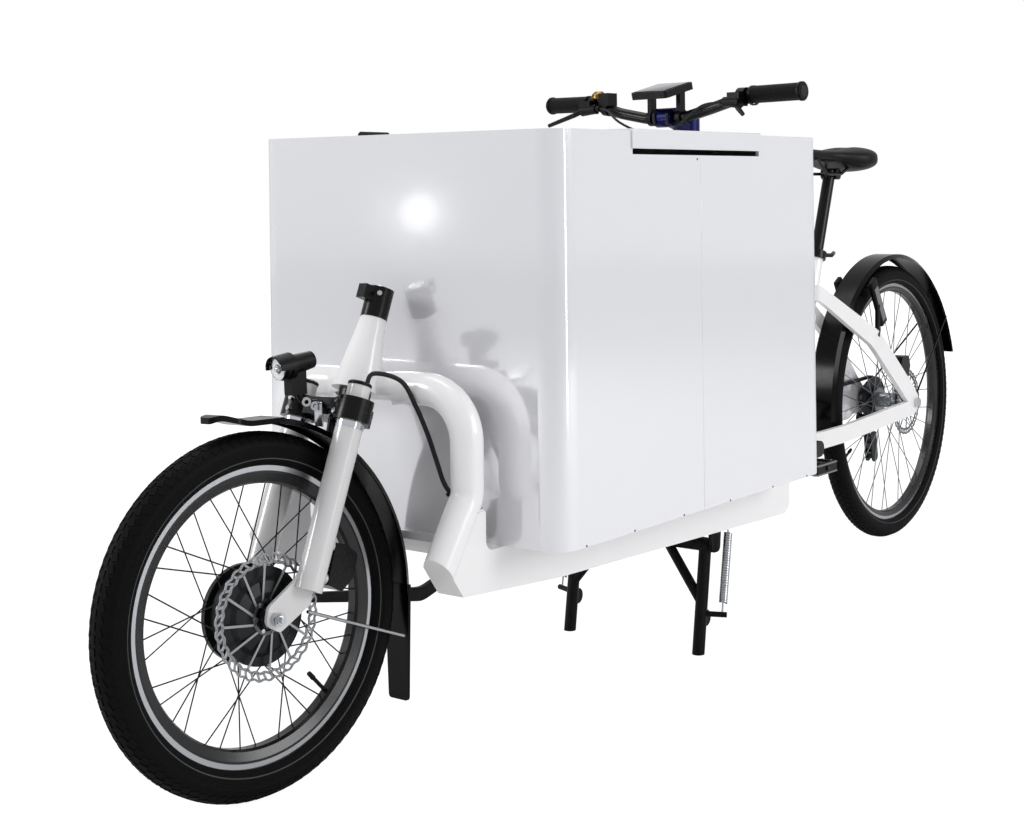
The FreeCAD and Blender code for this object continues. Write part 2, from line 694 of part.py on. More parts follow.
def rail_plate():
    """One side rail: a deep flat beam whose front end climbs into the arch tube's knee."""
    rows = [
        (ARCH_Y - 76, KNEE_Z - 96, 0), (ARCH_Y - 40, KNEE_Z - 138, 0), (RAIL_FRONT_Y, RAIL_FRONT_Z, 300),
        (RAIL_REAR_Y, RAIL_REAR_Z, 26), (RAIL_REAR_Y, BOX_Z0, 8), (ARCH_Y + 14, BOX_Z0, 16),
        (ARCH_Y + 14, KNEE_Z - 20, 6), (ARCH_Y - 4, KNEE_Z - 20, 0),
    ]
    return side_plate(rows, RAIL_X0, RAIL_X1)


def load_frame():
    """The side rails, their cross members, the arches up to the head tube and the front cover."""
    tube, beyond = arch_tube()
    split = block(-300, 300, ARCH_Y - 200, ARCH_Y + 100, 0, KNEE_Z - 20)
    rail = joined([rail_plate(), tube.common(split)]).cut(beyond)
    arch = tube.cut(split)
    head = bar(on_fork(0, HEAD_LOW, 0), on_fork(0, HEAD_TOP, 0), HEAD_LOW_R, HEAD_TOP_R)
    neck = bar(V(0, ARCH_Y - 28, ARCH_Z), V(0, ARCH_Y + 4, ARCH_Z + 8), 34.0, 26.0)
    rails = [rail, mirrored(rail)]
    head = joined([head, neck, arch, mirrored(arch)])
    bore = bar(on_fork(0, HEAD_LOW - 10, 0), on_fork(0, HEAD_TOP + 10, 0), STEERER_R + RUN_GAP)
    below = bar(on_fork(0, HEAD_LOW - 60, 0), on_fork(0, HEAD_LOW, 0), 60.0)
    head = head.cut(bore).cut(below)
    add("frame", "head_frame", max(head.Solids, key=lambda s: s.Volume))
    add("frame", "rails", group(rails))
    top = ARCH_Z - 18
    low = BOX_Z0 + 2
    cover_rows = [
        (-150, low, 6), (150, low, 6), (150, top - 72, 60), (60, top, 40), (-60, top, 40),
        (-150, top - 72, 60)
    ]
    cover = front_plate(cover_rows, COVER_Y, COVER_Y + COVER_T)
    flange = block(-RAIL_X0, RAIL_X0, COVER_Y - 8, COVER_Y + COVER_T, BOX_Z0 - 6, BOX_Z0 + 6)
    cover = joined([cover, flange]).cut(nodes["head_frame"]).cut(nodes["rails"])
    add("frame", "front_cover", max(cover.Solids, key=lambda s: s.Volume))
    beams = []
    for y in (BOX_Y0 + 28, BOX_Y0 + BOX_L * 0.46, STAND_Y + 14):
        beams.append(block(-RAIL_X0, RAIL_X0, y, y + CROSS_W, CROSS_Z0, BOX_Z0))
    rear = block(-RAIL_X0, RAIL_X0, COLUMN_Y - 30, RAIL_REAR_Y, CROSS_Z0, BOX_Z0)
    rear = rear.cut(Part.makeCylinder(COLUMN_TUBE_R, 200, V(0, COLUMN_Y, 200)))
    beams.append(rear)
    add("frame", "cross_members", group(beams))
    brackets = []
    plate_rows = [
        (
            STAND_Y - 22, RAIL_REAR_Z + 30, 0
        ), (STAND_Y - 14, STAND_Z - 12, 10), (STAND_Y + 14, STAND_Z - 12, 10),
        (STAND_Y + 22, RAIL_REAR_Z + 30, 0),
    ]
    for side in (1, -1):
        plate = side_plate(plate_rows, RAIL_X0 + 6, RAIL_X0 + 12).cut(rail)
        pin = disc_x(STAND_X + 6, RAIL_X0 + 12, 6.0, STAND_Y, STAND_Z)
        one = joined([plate, pin])
        brackets.append(one if side > 0 else mirrored(one))
    add("frame", "stand_brackets", group(brackets))


def rear_frame():
    """Column tube, main beam, top tube, seat tube and the flat stays to the rear axle."""
    column = Part.makeCylinder(COLUMN_TUBE_R, COLUMN_TUBE_TOP - CROSS_Z0 + 10, V(0, COLUMN_Y, CROSS_Z0 - 10))
    bore = Part.makeCylinder(SHAFT_R + RUN_GAP, COLUMN_TUBE_TOP, V(0, COLUMN_Y, 0))
    column = column.cut(bore)
    add("frame", "column_tube", column)
    solid_column = Part.makeCylinder(COLUMN_TUBE_R, COLUMN_TUBE_TOP, V(0, COLUMN_Y, 0))
    bb = disc_x(-BB_HALF, BB_HALF, BB_R, BB_Y, BB_Z)
    beam_rows = [
        (
            COLUMN_Y + 10, BOX_Z0 + 26, 0
        ), (COLUMN_Y + 10, BOX_Z0 - 28, 0), (BB_Y, BB_Z - 24, 8), (BB_Y + 18, BB_Z, 8),
        (BB_Y, BB_Z + 24, 8),
    ]
    beam = side_plate(beam_rows, -BEAM_R, BEAM_R)
    beam = joined([beam, bb]).cut(solid_column).cut(nodes["cross_members"])
    beam = max(beam.Solids, key=lambda s: s.Volume)
    crank_bore = disc_x(-60, 60, 8.0 + RUN_GAP, BB_Y, BB_Z)
    add("frame", "main_beam", beam.cut(crank_bore))
    foot = V(0, BB_Y, BB_Z)
    top = V(0, SEAT_TOP_Y, SEAT_TOP_Z)
    up = V(top - foot).normalize()
    seat = bar(foot + up * 18, top, SEAT_TUBE_R)
    seat = seat.cut(beam).cut(bar(top - up * 130, top + up * 10, SEATPOST_R))
    add("frame", "seat_tube", seat)
    seat_at = foot + up * ((TOP_TUBE_Z - BB_Z) / up.z)
    tube = bar(V(0, COLUMN_Y, TOP_TUBE_Z + 40), seat_at, BEAM_R - 3)
    solid_seat = bar(foot, top, SEAT_TUBE_R)
    tube = tube.cut(solid_column).cut(solid_seat)
    add("frame", "top_tube", max(tube.Solids, key=lambda s: s.Volume))
    stay_plates(solid_seat, beam)
    clamp = bar(top - up * 16, top + up * 2, SEAT_TUBE_R + 5).cut(
        bar(top - up * 20, top + up * 6, SEAT_TUBE_R)
    )
    lever = joined(
        [
            bar(top + V(12, 10, -7), top + V(22, 30, -8), 4.5),
            bar(top + V(22, 30, -8), top + V(14, 56, -4), 4.5)
        ]
    )
    clamp = joined([clamp, lever]).cut(solid_seat)
    add("frame", "seat_clamp", max(clamp.Solids, key=lambda s: s.Volume))
    post_top = top + up * ((SEATPOST_TOP_Z - SEAT_TOP_Z) / up.z)
    post = bar(top - up * 120, post_top, SEATPOST_R)
    head = bar(post_top + V(-20, 4, -6), post_top + V(20, 4, -6), 13.0)
    add("frame", "seatpost", joined([post, head]))
    saddle(post_top)


def stay_plates(solid_seat, beam):
    """The flat upper and lower stays, bent outwards round the wheel, on both sides."""
    half = STAY_H / 2
    kink_y = STAY_KINK_Y
    kink_z = STAY_KINK_Z
    axle_y = WHEELBASE
    axle_z = REAR_TYRE_R
    start_y = SEAT_TOP_Y - 48.0
    start_z = kink_z + 0.53 * (kink_y - start_y)
    upper_side = [
        (start_y, start_z + half, 0), (start_y, start_z - half, 0), (
            kink_y - 18, kink_z - half + 2, 30
        ), (axle_y - 40, axle_z + 4, 10),
        (axle_y - 22, axle_z - 28, 8), (axle_y + 4, axle_z - 22, 14), (axle_y + 16, axle_z + 14, 18), (
            kink_y + 22, kink_z + half - 6, 40
        ),
    ]
    upper_plan = [
        (16, start_y - 12), (27, start_y + 10), (56, kink_y), (DROPOUT_X, axle_y - 34),
        (DROPOUT_X, axle_y + 40)
    ]
    lower_side = [
        (BB_Y + 12, BB_Z + half, 0), (BB_Y + 12, BB_Z - half, 0), (
            BB_Y + 70, BB_Z - half + 1, 60
        ), (axle_y - 12, axle_z - 28, 14),
        (axle_y + 12, axle_z - 18, 14), (axle_y + 10, axle_z + 14, 14), (axle_y - 30, axle_z + 7, 20),
    ]
    ring_end = BB_Y + RING_R
    beside_ring = -CHAIN_X - RING_T / 2 - 5.0 - STAY_T / 2
    lower_plan = [
        (beside_ring - 8, BB_Y), (beside_ring, ring_end), (42, ring_end + 18), (56, ring_end + 96), (
            DROPOUT_X, axle_y - 34
        ),
        (DROPOUT_X, axle_y + 40),
    ]
    plates = []
    for side_rows, plan_rows in ((upper_side, upper_plan), (lower_side, lower_plan)):
        outer = [(x + STAY_T / 2, y, 0) for x, y in plan_rows]
        inner = [(x - STAY_T / 2, y, 0) for x, y in reversed(plan_rows)]
        plan = top_plate(outer + inner, BB_Z - 140, SEAT_TOP_Z + 60)
        plates.append(side_plate(side_rows, 0, 120).common(plan))
    around_bb = disc_x(-80, 80, BB_R, BB_Y, BB_Z)
    stay = joined(plates).cut(solid_seat).cut(beam).cut(around_bb).cut(nodes["top_tube"])
    axle_hole = disc_x(0, 120, AXLE_R, WHEELBASE, REAR_TYRE_R)
    stay = stay.cut(axle_hole)
    stay = max(stay.Solids, key=lambda s: s.Volume)
    pair = [stay, mirrored(stay)]
    add("frame", "rear_stays", group(pair))
    axle = disc_x(-DROPOUT_X - 9, DROPOUT_X + 9, AXLE_R, WHEELBASE, REAR_TYRE_R)
    nut = disc_x(DROPOUT_X + STAY_T / 2, DROPOUT_X + 15, 11.0, WHEELBASE, REAR_TYRE_R)
    spacer_l = disc_x(56 + RUN_GAP, DROPOUT_X - STAY_T / 2, AXLE_R + 5, WHEELBASE, REAR_TYRE_R)
    spacer_r = disc_x(-DROPOUT_X + STAY_T / 2, -60 - RUN_GAP, AXLE_R + 5, WHEELBASE, REAR_TYRE_R)
    add("frame", "rear_axle", joined([axle, nut, mirrored(nut), spacer_l, spacer_r]))


def saddle(post_top):
    """The saddle: a long nose widening to a padded rear, with its rails clamped on the post."""
    y = SEAT_TOP_Y
    z = post_top.z
    top_rows = [
        (
            -14, y - 58, 12
        ), (14, y - 58, 12), (32, y + 44, 60), (88, y + 128, 38), (74, y + 182, 38), (0, y + 172, 60),
        (-74, y + 182, 38), (-88, y + 128, 38), (-32, y + 44, 60),
    ]
    plan = top_plate(top_rows, z - 30, z + 90)
    side_rows = [
        (y - 62, z + 28, 6), (y - 62, z + 54, 16), (
            y + 50, z + 47, 200
        ), (y + 190, z + 62, 30), (y + 190, z - 4, 24),
        (y + 120, z + 4, 30), (y + 50, z + 26, 60),
    ]
    shape = plan.common(side_plate(side_rows, -110, 110))
    add("frame", "saddle", shape)
    rails = []
    low = post_top.z - 6
    for side in (1, -1):
        points = [
            V(side * 14, y - 30, z + 36), V(side * 22, y + 12, low), V(side * 22, y + 84, low),
            V(side * 32, y + 118, z + 14)
        ]
        pieces = [bar(a, b, 3.5) for a, b in zip(points, points[1:])]
        pieces += [Part.makeSphere(3.5, p) for p in points[1:3]]
        rail = joined(pieces).cut(shape).cut(nodes["seatpost"])
        rails.append(max(rail.Solids, key=lambda s: s.Volume))
    add("frame", "saddle_rails", group(rails))


def rear_fittings():
    """Mudguard with its flare and stays, caliper, ring lock, gear mechanism, chain and its guard plate."""
    y = WHEELBASE
    z = REAR_TYRE_R
    sheet = guard(y, z, REAR_GUARD_R + 5, REAR_GUARD_HALF, -100.0, REAR_GUARD_END)
    end = math.radians(REAR_GUARD_END)
    r0 = REAR_GUARD_R + 3
    ey = y + r0 * math.sin(end)
    ez = z + r0 * math.cos(end)
    flap_rows = [
        (ey - 3, ez + 6, 0), (ey + 3, ez + 6, 0), (ey + GUARD_FLARE, ez - 24, 0),
        (ey + GUARD_FLARE - 5, ez - 26, 0)
    ]
    flap = side_plate(flap_rows, -27.0, 27.0)
    wires = []
    for side in (1, -1):
        low = V(side * (DROPOUT_X + 2), y + 4, z + 10)
        lean = math.radians(58.0)
        high = V(
            side * (REAR_GUARD_HALF - 2), y + (REAR_GUARD_R - 2) * math.sin(lean),
            z + (REAR_GUARD_R - 2) * math.cos(lean)
        )
        wires.append(bar(low, high, 2.2))
    shape = joined([sheet, flap] + wires)
    shape = shape.cut(nodes["rear_stays"])
    shape = max(shape.Solids, key=lambda s: s.Volume)
    add("frame", "rear_guard", shape)
    rows = [
        (y - 52, z + 56, 8), (y - 58, z + 84, 8), (y - 46, z + 114, 10), (y - 10, z + 114, 10),
        (y - 2, z + 88, 8), (y - 16, z + 58, 8)
    ]
    body = side_plate(rows, REAR_DISC_X - 14, DROPOUT_X - STAY_T / 2)
    lug = bar(V(DROPOUT_X - 14, y - 44, z + 74), V(DROPOUT_X, y - 62, z + 62), 7.0)
    slot = disc_x(REAR_DISC_X - 2, REAR_DISC_X + DISC_T + 2, REAR_DISC_R + 4, y, z)
    caliper = joined([body, lug]).cut(slot).cut(nodes["rear_stays"])
    add("frame", "rear_caliper", max(caliper.Solids, key=lambda s: s.Volume))
    ring_lock()
    hanger = side_plate(
        [(y - 10, z + 4, 5), (y + 14, z + 4, 5), (y + 20, z - 54, 8), (y + 1, z - 54, 8)], -DROPOUT_X - 13,
        -DROPOUT_X - 7
    )
    hanger = hanger.cut(disc_x(-120, 0, 12.0, y, z))
    knuckle = disc_x(-DROPOUT_X - 16, -61, 10.0, y + 10, z - 50)
    arm = bar(V(-64, y + 9, z - 50), V(-62, y - 4, z - 92), 7.0)
    cage = side_plate(
        [(y - 14, z - 80, 10), (y + 17, z - 80, 10), (y + 26, z - 150, 12), (y - 4, z - 158, 12)], -57.5,
        -54.5
    )
    inner_cage = cage.copy()
    inner_cage.translate(V(17.0, 0, 0))
    upper = disc_x(-56, -39, 12.0, y + 2, z - 98)
    lower = disc_x(-56, -39, 12.0, y + 9, z - 136)
    shape = joined(
        [hanger, knuckle, arm, cage, inner_cage, upper, lower]
    ).cut(nodes["rear_stays"]).cut(nodes["rear_axle"])
    add("frame", "gear_mech", max(shape.Solids, key=lambda s: s.Volume))
    chain()
    chain_guard()


def ring_lock():
    """The ring lock: two arms beside the tyre, a bridge over the guard and lugs to the upper stays."""
    y = WHEELBASE
    z = REAR_TYRE_R
    lean = math.radians(-30.0)
    out = V(0, math.sin(lean), math.cos(lean))
    across = V(0, math.cos(lean), -math.sin(lean))
    centre = V(0, y, z)
    inside = REAR_TYRE_R - 100.0
    top = REAR_GUARD_R + 18.0
    rows = [(inside, 0, 9), (inside + 30, -14, 8), (top, -14, 8), (top, 14, 8), (inside + 30, 14, 8)]
    points = [centre + out * r + across * a for r, a, bend in rows]
    arm = side_plate([(p.y, p.z, row[2]) for p, row in zip(points, rows)], 38.0, 50.0)
    bridge_points = [
        centre + out * r + across * a for r, a in ((top - 9, -12), (top, -12), (top, 12), (top - 9, 12))
    ]
    bridge = side_plate([(p.y, p.z, 0) for p in bridge_points], -44.0, 44.0)
    lug_at = centre + out * (inside + 60)
    lug = bar(V(44, lug_at.y, lug_at.z), V(60, STAY_KINK_Y + 14, STAY_KINK_Z + 2), 6.0)
    shape = joined(
        [arm, mirrored(arm), bridge, lug, mirrored(lug)]
    ).cut(nodes["rear_stays"]).cut(nodes["rear_guard"])
    add("frame", "ring_lock", max(shape.Solids, key=lambda s: s.Volume))


def loop_face(x, circles, grow):
    """A flat face round two circles, as a belt lies on them. Circles are (y, z, radius)."""
    (ya, za, ra), (yb, zb, rb) = circles
    ra += grow
    rb += grow
    along = V(0, yb - ya, zb - za)
    gap = along.Length
    along.normalize()
    across = V(1, 0, 0).cross(along)
    lean = math.asin((ra - rb) / gap)
    a = V(x, ya, za)
    b = V(x, yb, zb)
    sides = []
    for sign in (1, -1):
        out = across * (sign * math.cos(lean)) + along * math.sin(lean)
        sides.append((a + out * ra, b + out * rb))
    (a1, b1), (a2, b2) = sides
    edges = [
        Part.LineSegment(a1, b1).toShape(), Part.Arc(b1, b + along * rb, b2).toShape(),
        Part.LineSegment(b2, a2).toShape(), Part.Arc(a2, a - along * ra, a1).toShape(),
    ]
    return Part.Face(Part.Wire(edges))


def chain():
    """The chain as one flat loop, and the long guard plate outside it."""
    ends = [(BB_Y, BB_Z, RING_R + RUN_GAP), (WHEELBASE, REAR_TYRE_R, COG_R + 2.0)]
    x0 = CHAIN_X - CHAIN_W / 2
    band = loop_face(x0, ends, 8.0).extrude(V(CHAIN_W, 0, 0))
    inner = loop_face(x0 - 1, ends, 0.0).extrude(V(CHAIN_W + 2, 0, 0))
    add("frame", "chain", band.cut(inner))


def chain_guard():
    """A white plate inside the right-hand stays that covers the chain's rear end."""
    x0 = CHAIN_X - CHAIN_W / 2 - 3.5
    rear = V(0, WHEELBASE - COG_R - GUARD_PLATE_R - 10.0, REAR_TYRE_R + 20.0)
    plate = loop_face(
        x0, [(rear.y - 60.0, rear.z - 4.0, GUARD_PLATE_R - 4.0), (rear.y, rear.z, GUARD_PLATE_R)], 0.0
    ).extrude(V(2, 0, 0))
    lug = disc_x(-DROPOUT_X + 4, x0 + 1, 7.0, rear.y + 8.0, REAR_TYRE_R - 14.0)
    shape = joined([plate, lug]).cut(nodes["rear_stays"]).cut(nodes["rear_tyre"])
    add("frame", "chain_guard", max(shape.Solids, key=lambda s: s.Volume))


def cranks():
    """Crank arms with the chain ring, and the two pedals."""
    drop = math.radians(CRANK_DROP)
    shaft = disc_x(-CRANK_X + 6, CRANK_X - 6, 8.0, BB_Y, BB_Z)
    pieces = [shaft]
    for side in (1, -1):
        out_y = BB_Y - side * CRANK_L * math.cos(drop)
        out_z = BB_Z - side * CRANK_L * math.sin(drop)
        arm = loop_face(0, [(BB_Y, BB_Z, 17.0), (out_y, out_z, 13.0)], 0.0).extrude(V(14, 0, 0))
        arm.translate(V(side * CRANK_X - 7, 0, 0))
        pieces.append(arm)
    ring_x = CHAIN_X - RING_T / 2
    ring = disc_x(ring_x, ring_x + RING_T, RING_R, BB_Y, BB_Z).cut(disc_x(-60, 0, RING_R - 14, BB_Y, BB_Z))
    pieces.append(ring)
    spider = Part.makeBox(RING_T, 12.0, RING_R - 8, V(ring_x, BB_Y - 6.0, BB_Z))
    for k in range(5):
        arm = spider.copy()
        arm.rotate(V(0, BB_Y, BB_Z), V(1, 0, 0), 72 * k + 10)
        pieces.append(arm)
    pieces.append(disc_x(-CRANK_X + 6, ring_x + RING_T, 18.0, BB_Y, BB_Z))
    crankset = joined(pieces)
    for side in (1, -1):
        out_y = BB_Y - side * CRANK_L * math.cos(drop)
        out_z = BB_Z - side * CRANK_L * math.sin(drop)
        x_in = side * (CRANK_X + 7)
        x_out = side * (CRANK_X + 7 + PEDAL_W + 8)
        spindle = disc_x(min(x_in, x_out), max(x_in, x_out), 4.5, out_y, out_z)
        crankset = crankset.fuse(spindle)
        body = block(0, PEDAL_W, -PEDAL_L / 2, PEDAL_L / 2, -11, 11)
        for y0, y1 in ((-PEDAL_L / 2 + 8, -12), (12, PEDAL_L / 2 - 8)):
            body = body.cut(block(10, PEDAL_W - 8, y0, y1, -20, 20))
        body = body.cut(Part.makeCylinder(4.5 + RUN_GAP, PEDAL_W + 10, V(-5, 0, 0), V(1, 0, 0)))
        if side < 0:
            body = mirrored(body)
        body.translate(V(x_in + side * 5.0, out_y, out_z))
        add("pedal_left" if side > 0 else "pedal_right", "pedal_left" if side > 0 else "pedal_right", body)
    add("crank", "crankset", crankset.removeSplitter())


def stand():
    """The two-legged centre stand with its inner braces, feet, lugs and tension springs."""
    legs = []
    foot_low = 0.0
    for side in (1, -1):
        top = V(side * STAND_X, STAND_Y, STAND_Z)
        foot = V(side * STAND_X, FOOT_Y, foot_low)
        run = V(top - foot).normalize()
        leg = bar(foot - run * 20, top, STAND_LEG_R)
        leg = leg.cut(block(-300, 300, FOOT_Y - 150, FOOT_Y + 150, -60, 0))
        legs.append(leg)
        join = foot + run * 92
        legs.append(bar(join, V(side * 60, STAND_Y - 2, STAND_Z), 9.0))
        tab_y = FOOT_Y + (STAND_Y - FOOT_Y) * STAND_TAB_Z / STAND_Z
        lug = Part.makeCylinder(15.0, 10.0, V(side * STAND_X - 5, tab_y + 12, STAND_TAB_Z - 10), V(1, 0, 0))
        legs.append(lug)
        stub = bar(
            V(side * STAND_X, tab_y, STAND_TAB_Z), V(side * (SPRING_X + 8), tab_y + 18, STAND_TAB_Z), 5.0
        )
        legs.append(stub)
    cross = disc_x(-STAND_X - 12, STAND_X + 12, 13.0, STAND_Y, STAND_Z)
    shape = joined(legs + [cross])
    pins = disc_x(STAND_X + 5, RAIL_X0 + 20, 6.0 + RUN_GAP, STAND_Y, STAND_Z)
    shape = shape.cut(pins).cut(mirrored(pins))
    add("stand", "stand", shape)
    springs = []
    tab_y = FOOT_Y + (STAND_Y - FOOT_Y) * STAND_TAB_Z / STAND_Z
    for side in (1, -1):
        low = V(side * SPRING_X, tab_y + 16, STAND_TAB_Z + 5)
        high = V(side * SPRING_X, STAND_Y + 24, rail_bottom(STAND_Y + 24) + 2)
        spring = bar(low, high, SPRING_R)
        spring = spring.cut(shape).cut(nodes["rails"])
        springs.append(max(spring.Solids, key=lambda s: s.Volume))
    add("stand", "stand_springs", group(springs))


def handlebar():
    """The steering shaft in the column with its arm, the stem, the bar and what is on it."""
    shaft_low = ROD_REAR_Z - 14
    arm_z = ROD_REAR_Z + 9
    shaft = Part.makeCylinder(SHAFT_R, STEM_Z - 6 - shaft_low, V(0, COLUMN_Y, shaft_low))
    arm = top_plate(
        [
            (14, COLUMN_Y - 18, 12), (14, COLUMN_Y + 18, 12), (-ROD_ARM - 12, COLUMN_Y + 12, 10),
            (-ROD_ARM - 12, COLUMN_Y - 12, 10)
        ],
        arm_z, arm_z + 10
    )
    pin = Part.makeCylinder(4.0, 22.0, V(-ROD_ARM, COLUMN_Y, arm_z - 20))
    washer = Part.makeCylinder(7.0, 2.0, V(-ROD_ARM, COLUMN_Y, arm_z - 22))
    add("handlebar", "steering_shaft", joined([shaft, arm, pin, washer]))
    clamp = Part.makeCylinder(SHAFT_R + 7, 46, V(0, COLUMN_Y, STEM_Z - 46))
    reach = bar(V(0, COLUMN_Y, STEM_Z - 22), V(0, STEM_Y, STEM_Z), 15.0)
    grip_bore = bar(V(-40, STEM_Y, STEM_Z), V(40, STEM_Y, STEM_Z), BAR_R)
    front = bar(V(-22, STEM_Y, STEM_Z), V(22, STEM_Y, STEM_Z), 19.0)
    stem = joined([clamp, reach, front]).cut(nodes["steering_shaft"]).cut(grip_bore)
    add("handlebar", "stem", max(stem.Solids, key=lambda s: s.Volume))
    rise = BAR_Z
    points = [
        V(
            -BAR_END_X + 3, STEM_Y + 7, rise
        ), V(-195, STEM_Y, rise - 2), V(-110, STEM_Y - 6, STEM_Z + 12), V(-50, STEM_Y, STEM_Z),
        V(50, STEM_Y, STEM_Z), V(110, STEM_Y - 6, STEM_Z + 12), V(195, STEM_Y, rise - 2), V(
            BAR_END_X - 3, STEM_Y + 7, rise
        ),
    ]
    tube = swept_bar(points, [0, 90, 90, 60, 60, 90, 90, 0], BAR_R)
    add("handlebar", "handlebar", tube)
    nodes["stem"] = nodes["stem"].cut(tube)
    grips = []
    controls = []
    for side in (1, -1):
        outer = V(side * BAR_END_X, STEM_Y + 7, rise)
        inner = V(side * (BAR_END_X - GRIP_L), STEM_Y + 7 - GRIP_L * 7 / 139.0, rise - GRIP_L * 2 / 139.0)
        grips.append(bar(inner, outer, GRIP_R).cut(tube))
        c = V(side * CLUSTER_X, STEM_Y - 1, rise - 3)
        ring = bar(c + V(-9, 0, 0), c + V(9, 0, 0), 16.0)
        perch = block(-14, 14, -34, -6, -20, 6)
        perch.translate(c)
        tip = V(side * 278, STEM_Y - 42, rise - 44) if side < 0 else V(side * 210, STEM_Y - 36, rise - 40)
        root = c + V(0, -26, -10)
        mid = root + V(side * 24, -12, -12) if side < 0 else root + V(side * 10, -6, -14)
        blade = joined([bar(root, mid, 5.0), bar(mid, tip, 5.0, 4.0), Part.makeSphere(5.0, mid)])
        lever = joined([ring, perch, blade]).cut(tube)
        controls.append(lever)
    add("handlebar", "grips", group(grips))
    add("handlebar", "brake_levers", group(controls))
    plate = top_plate([(-45, -45, 8), (45, -45, 8), (45, 45, 8), (-45, 45, 8)], -7, 7)
    plate.rotate(V(0, 0, 0), V(1, 0, 0), 14)
    plate.translate(V(0, STEM_Y - 14, STEM_Z + 52))
    legs = []
    for side in (1, -1):
        ring = bar(V(side * 36 - 5, STEM_Y, STEM_Z), V(side * 36 + 5, STEM_Y, STEM_Z), 15.5)
        post = block(side * 36 - 5, side * 36 + 5, STEM_Y - 10, STEM_Y + 6, STEM_Z + 8, STEM_Z + 50)
        legs += [ring, post]
    shape = joined([plate] + legs).cut(tube)
    add("handlebar", "display", max(shape.Solids, key=lambda s: s.Volume))
    thumb = block(-13, 13, -14, 14, 8, 34)
    thumb.translate(V(-150, STEM_Y - 4, rise - 16))
    thumb_ring = bar(V(-157, STEM_Y - 3, rise - 12), V(-143, STEM_Y - 4, rise - 14), 15.0)
    bell_at = V(-176, STEM_Y - 1, rise + 9)
    bell = joined(
        [
            bar(bell_at, bell_at + V(0, 0, 8), 16.0, 14.5),
            bar(bell_at + V(0, 0, 8), bell_at + V(0, 0, 14), 14.5, 8.0)
        ]
    )
    bell_foot = bar(V(-176, STEM_Y - 2, rise - 4), V(-176, STEM_Y - 2, rise + 10), 5.0)
    shape = joined([thumb, thumb_ring]).cut(tube).cut(nodes["brake_levers"])
    bell_all = joined([bell, bell_foot]).cut(tube).cut(nodes["brake_levers"]).cut(shape)
    add("handlebar", "thumb_control", max(shape.Solids, key=lambda s: s.Volume))
    add("handlebar", "bell", max(bell_all.Solids, key=lambda s: s.Volume))


def tie_rod():
    """The long flat rod from the column to the fork, dropped under the box, with an eye at each end."""
    rear = V(-ROD_ARM, COLUMN_Y, ROD_REAR_Z)
    front = rod_front_point()
    rise_y = STAND_Y - 190.0
    rows = [
        (front.y + 12, front.z + 6, 0), (front.y + 12, front.z - 6, 0), (
            ROD_LOW_Y, ROD_LOW_Z - 12, 60
        ), (rise_y, ROD_REAR_Z - 9, 60),
        (
            rear.y - 10, ROD_REAR_Z - 7, 0
        ), (rear.y - 10, ROD_REAR_Z + 7, 0), (rise_y, ROD_REAR_Z + 9, 60), (ROD_LOW_Y, ROD_LOW_Z + 12, 60),
    ]
    half = ROD_W / 2
    rod = side_plate(rows, -ROD_ARM - half, -ROD_ARM + half)
    rear_eye = Part.makeCylinder(12.0, 14.0, rear + V(0, 0, -7)).cut(
        Part.makeCylinder(4.0 + RUN_GAP, 30.0, rear + V(0, 0, -15))
    )
    front_eye = Part.makeCylinder(14.0, 12.0, front + V(0, 0, -6)).cut(
        Part.makeCylinder(8.0, 30.0, front + V(0, 0, -15))
    )
    rod = rod.cut(
        Part.makeCylinder(4.0 + RUN_GAP, 30.0, rear + V(0, 0, -15))
    ).cut(Part.makeCylinder(8.0, 30.0, front + V(0, 0, -15)))
    add("tie_rod", "tie_rod", joined([rod, rear_eye, front_eye]))


def front_cable():
    """The sleeved cable that arches from the fork's left upper tube into the frame's arch."""
    turn = FreeCAD.Rotation(AXIS, PARK_STEER)
    start = on_fork(LEG_X, UPPER_LEG_TOP - 3, LEG_AHEAD - UPPER_LEG_R + 4)
    start = AXIS_FOOT + turn.multVec(start - AXIS_FOOT)
    points = [
        start, start + V(6, 14, 22), V(88, ARCH_Y - 36, ARCH_Z + 16), V(
            106, ARCH_Y - 20, ARCH_Z - 38
        ), V(128, ARCH_Y - 13, ARCH_Z - 84),
        V(146, ARCH_Y - 16, ARCH_Z - 122), V(166, ARCH_Y - 16, ARCH_Z - 148),
    ]
    runs = [(b - a).Length for a, b in zip(points, points[1:])]
    bends = [0]
    for k in range(1, len(points) - 1):
        turn_by = (points[k] - points[k - 1]).getAngle(points[k + 1] - points[k])
        bends.append(0.45 * min(runs[k - 1], runs[k]) / math.tan(turn_by / 2))
    cable = swept_bar(points, bends + [0], 3.6)
    cable = cable.cut(nodes["head_frame"]).cut(nodes["fork_crown"])
    add("frame", "front_cable", max(cable.Solids, key=lambda s: s.Volume))


def park():
    """Turns what steers to the angle at which the bike stands."""
    foot = AXIS_FOOT
    column_turn = PARK_STEER * COLUMN_RATIO
    for name, body in body_of.items():
        if body in ("fork", "front_wheel"):
            nodes[name].rotate(foot, AXIS, PARK_STEER)
        if body == "handlebar":
            nodes[name].rotate(V(0, COLUMN_Y, 0), V(0, 0, 1), column_turn)
    slope = math.tan(math.radians(RAKE)) * ROD_ARM / (COLUMN_Y - rod_front_point().y)
    hinge = V(slope, 0, 1)
    rear = V(-ROD_ARM, COLUMN_Y, ROD_REAR_Z)
    nodes["tie_rod"].rotate(rear, hinge, -column_turn)
    nodes["tie_rod"].rotate(V(0, COLUMN_Y, 0), V(0, 0, 1), column_turn)


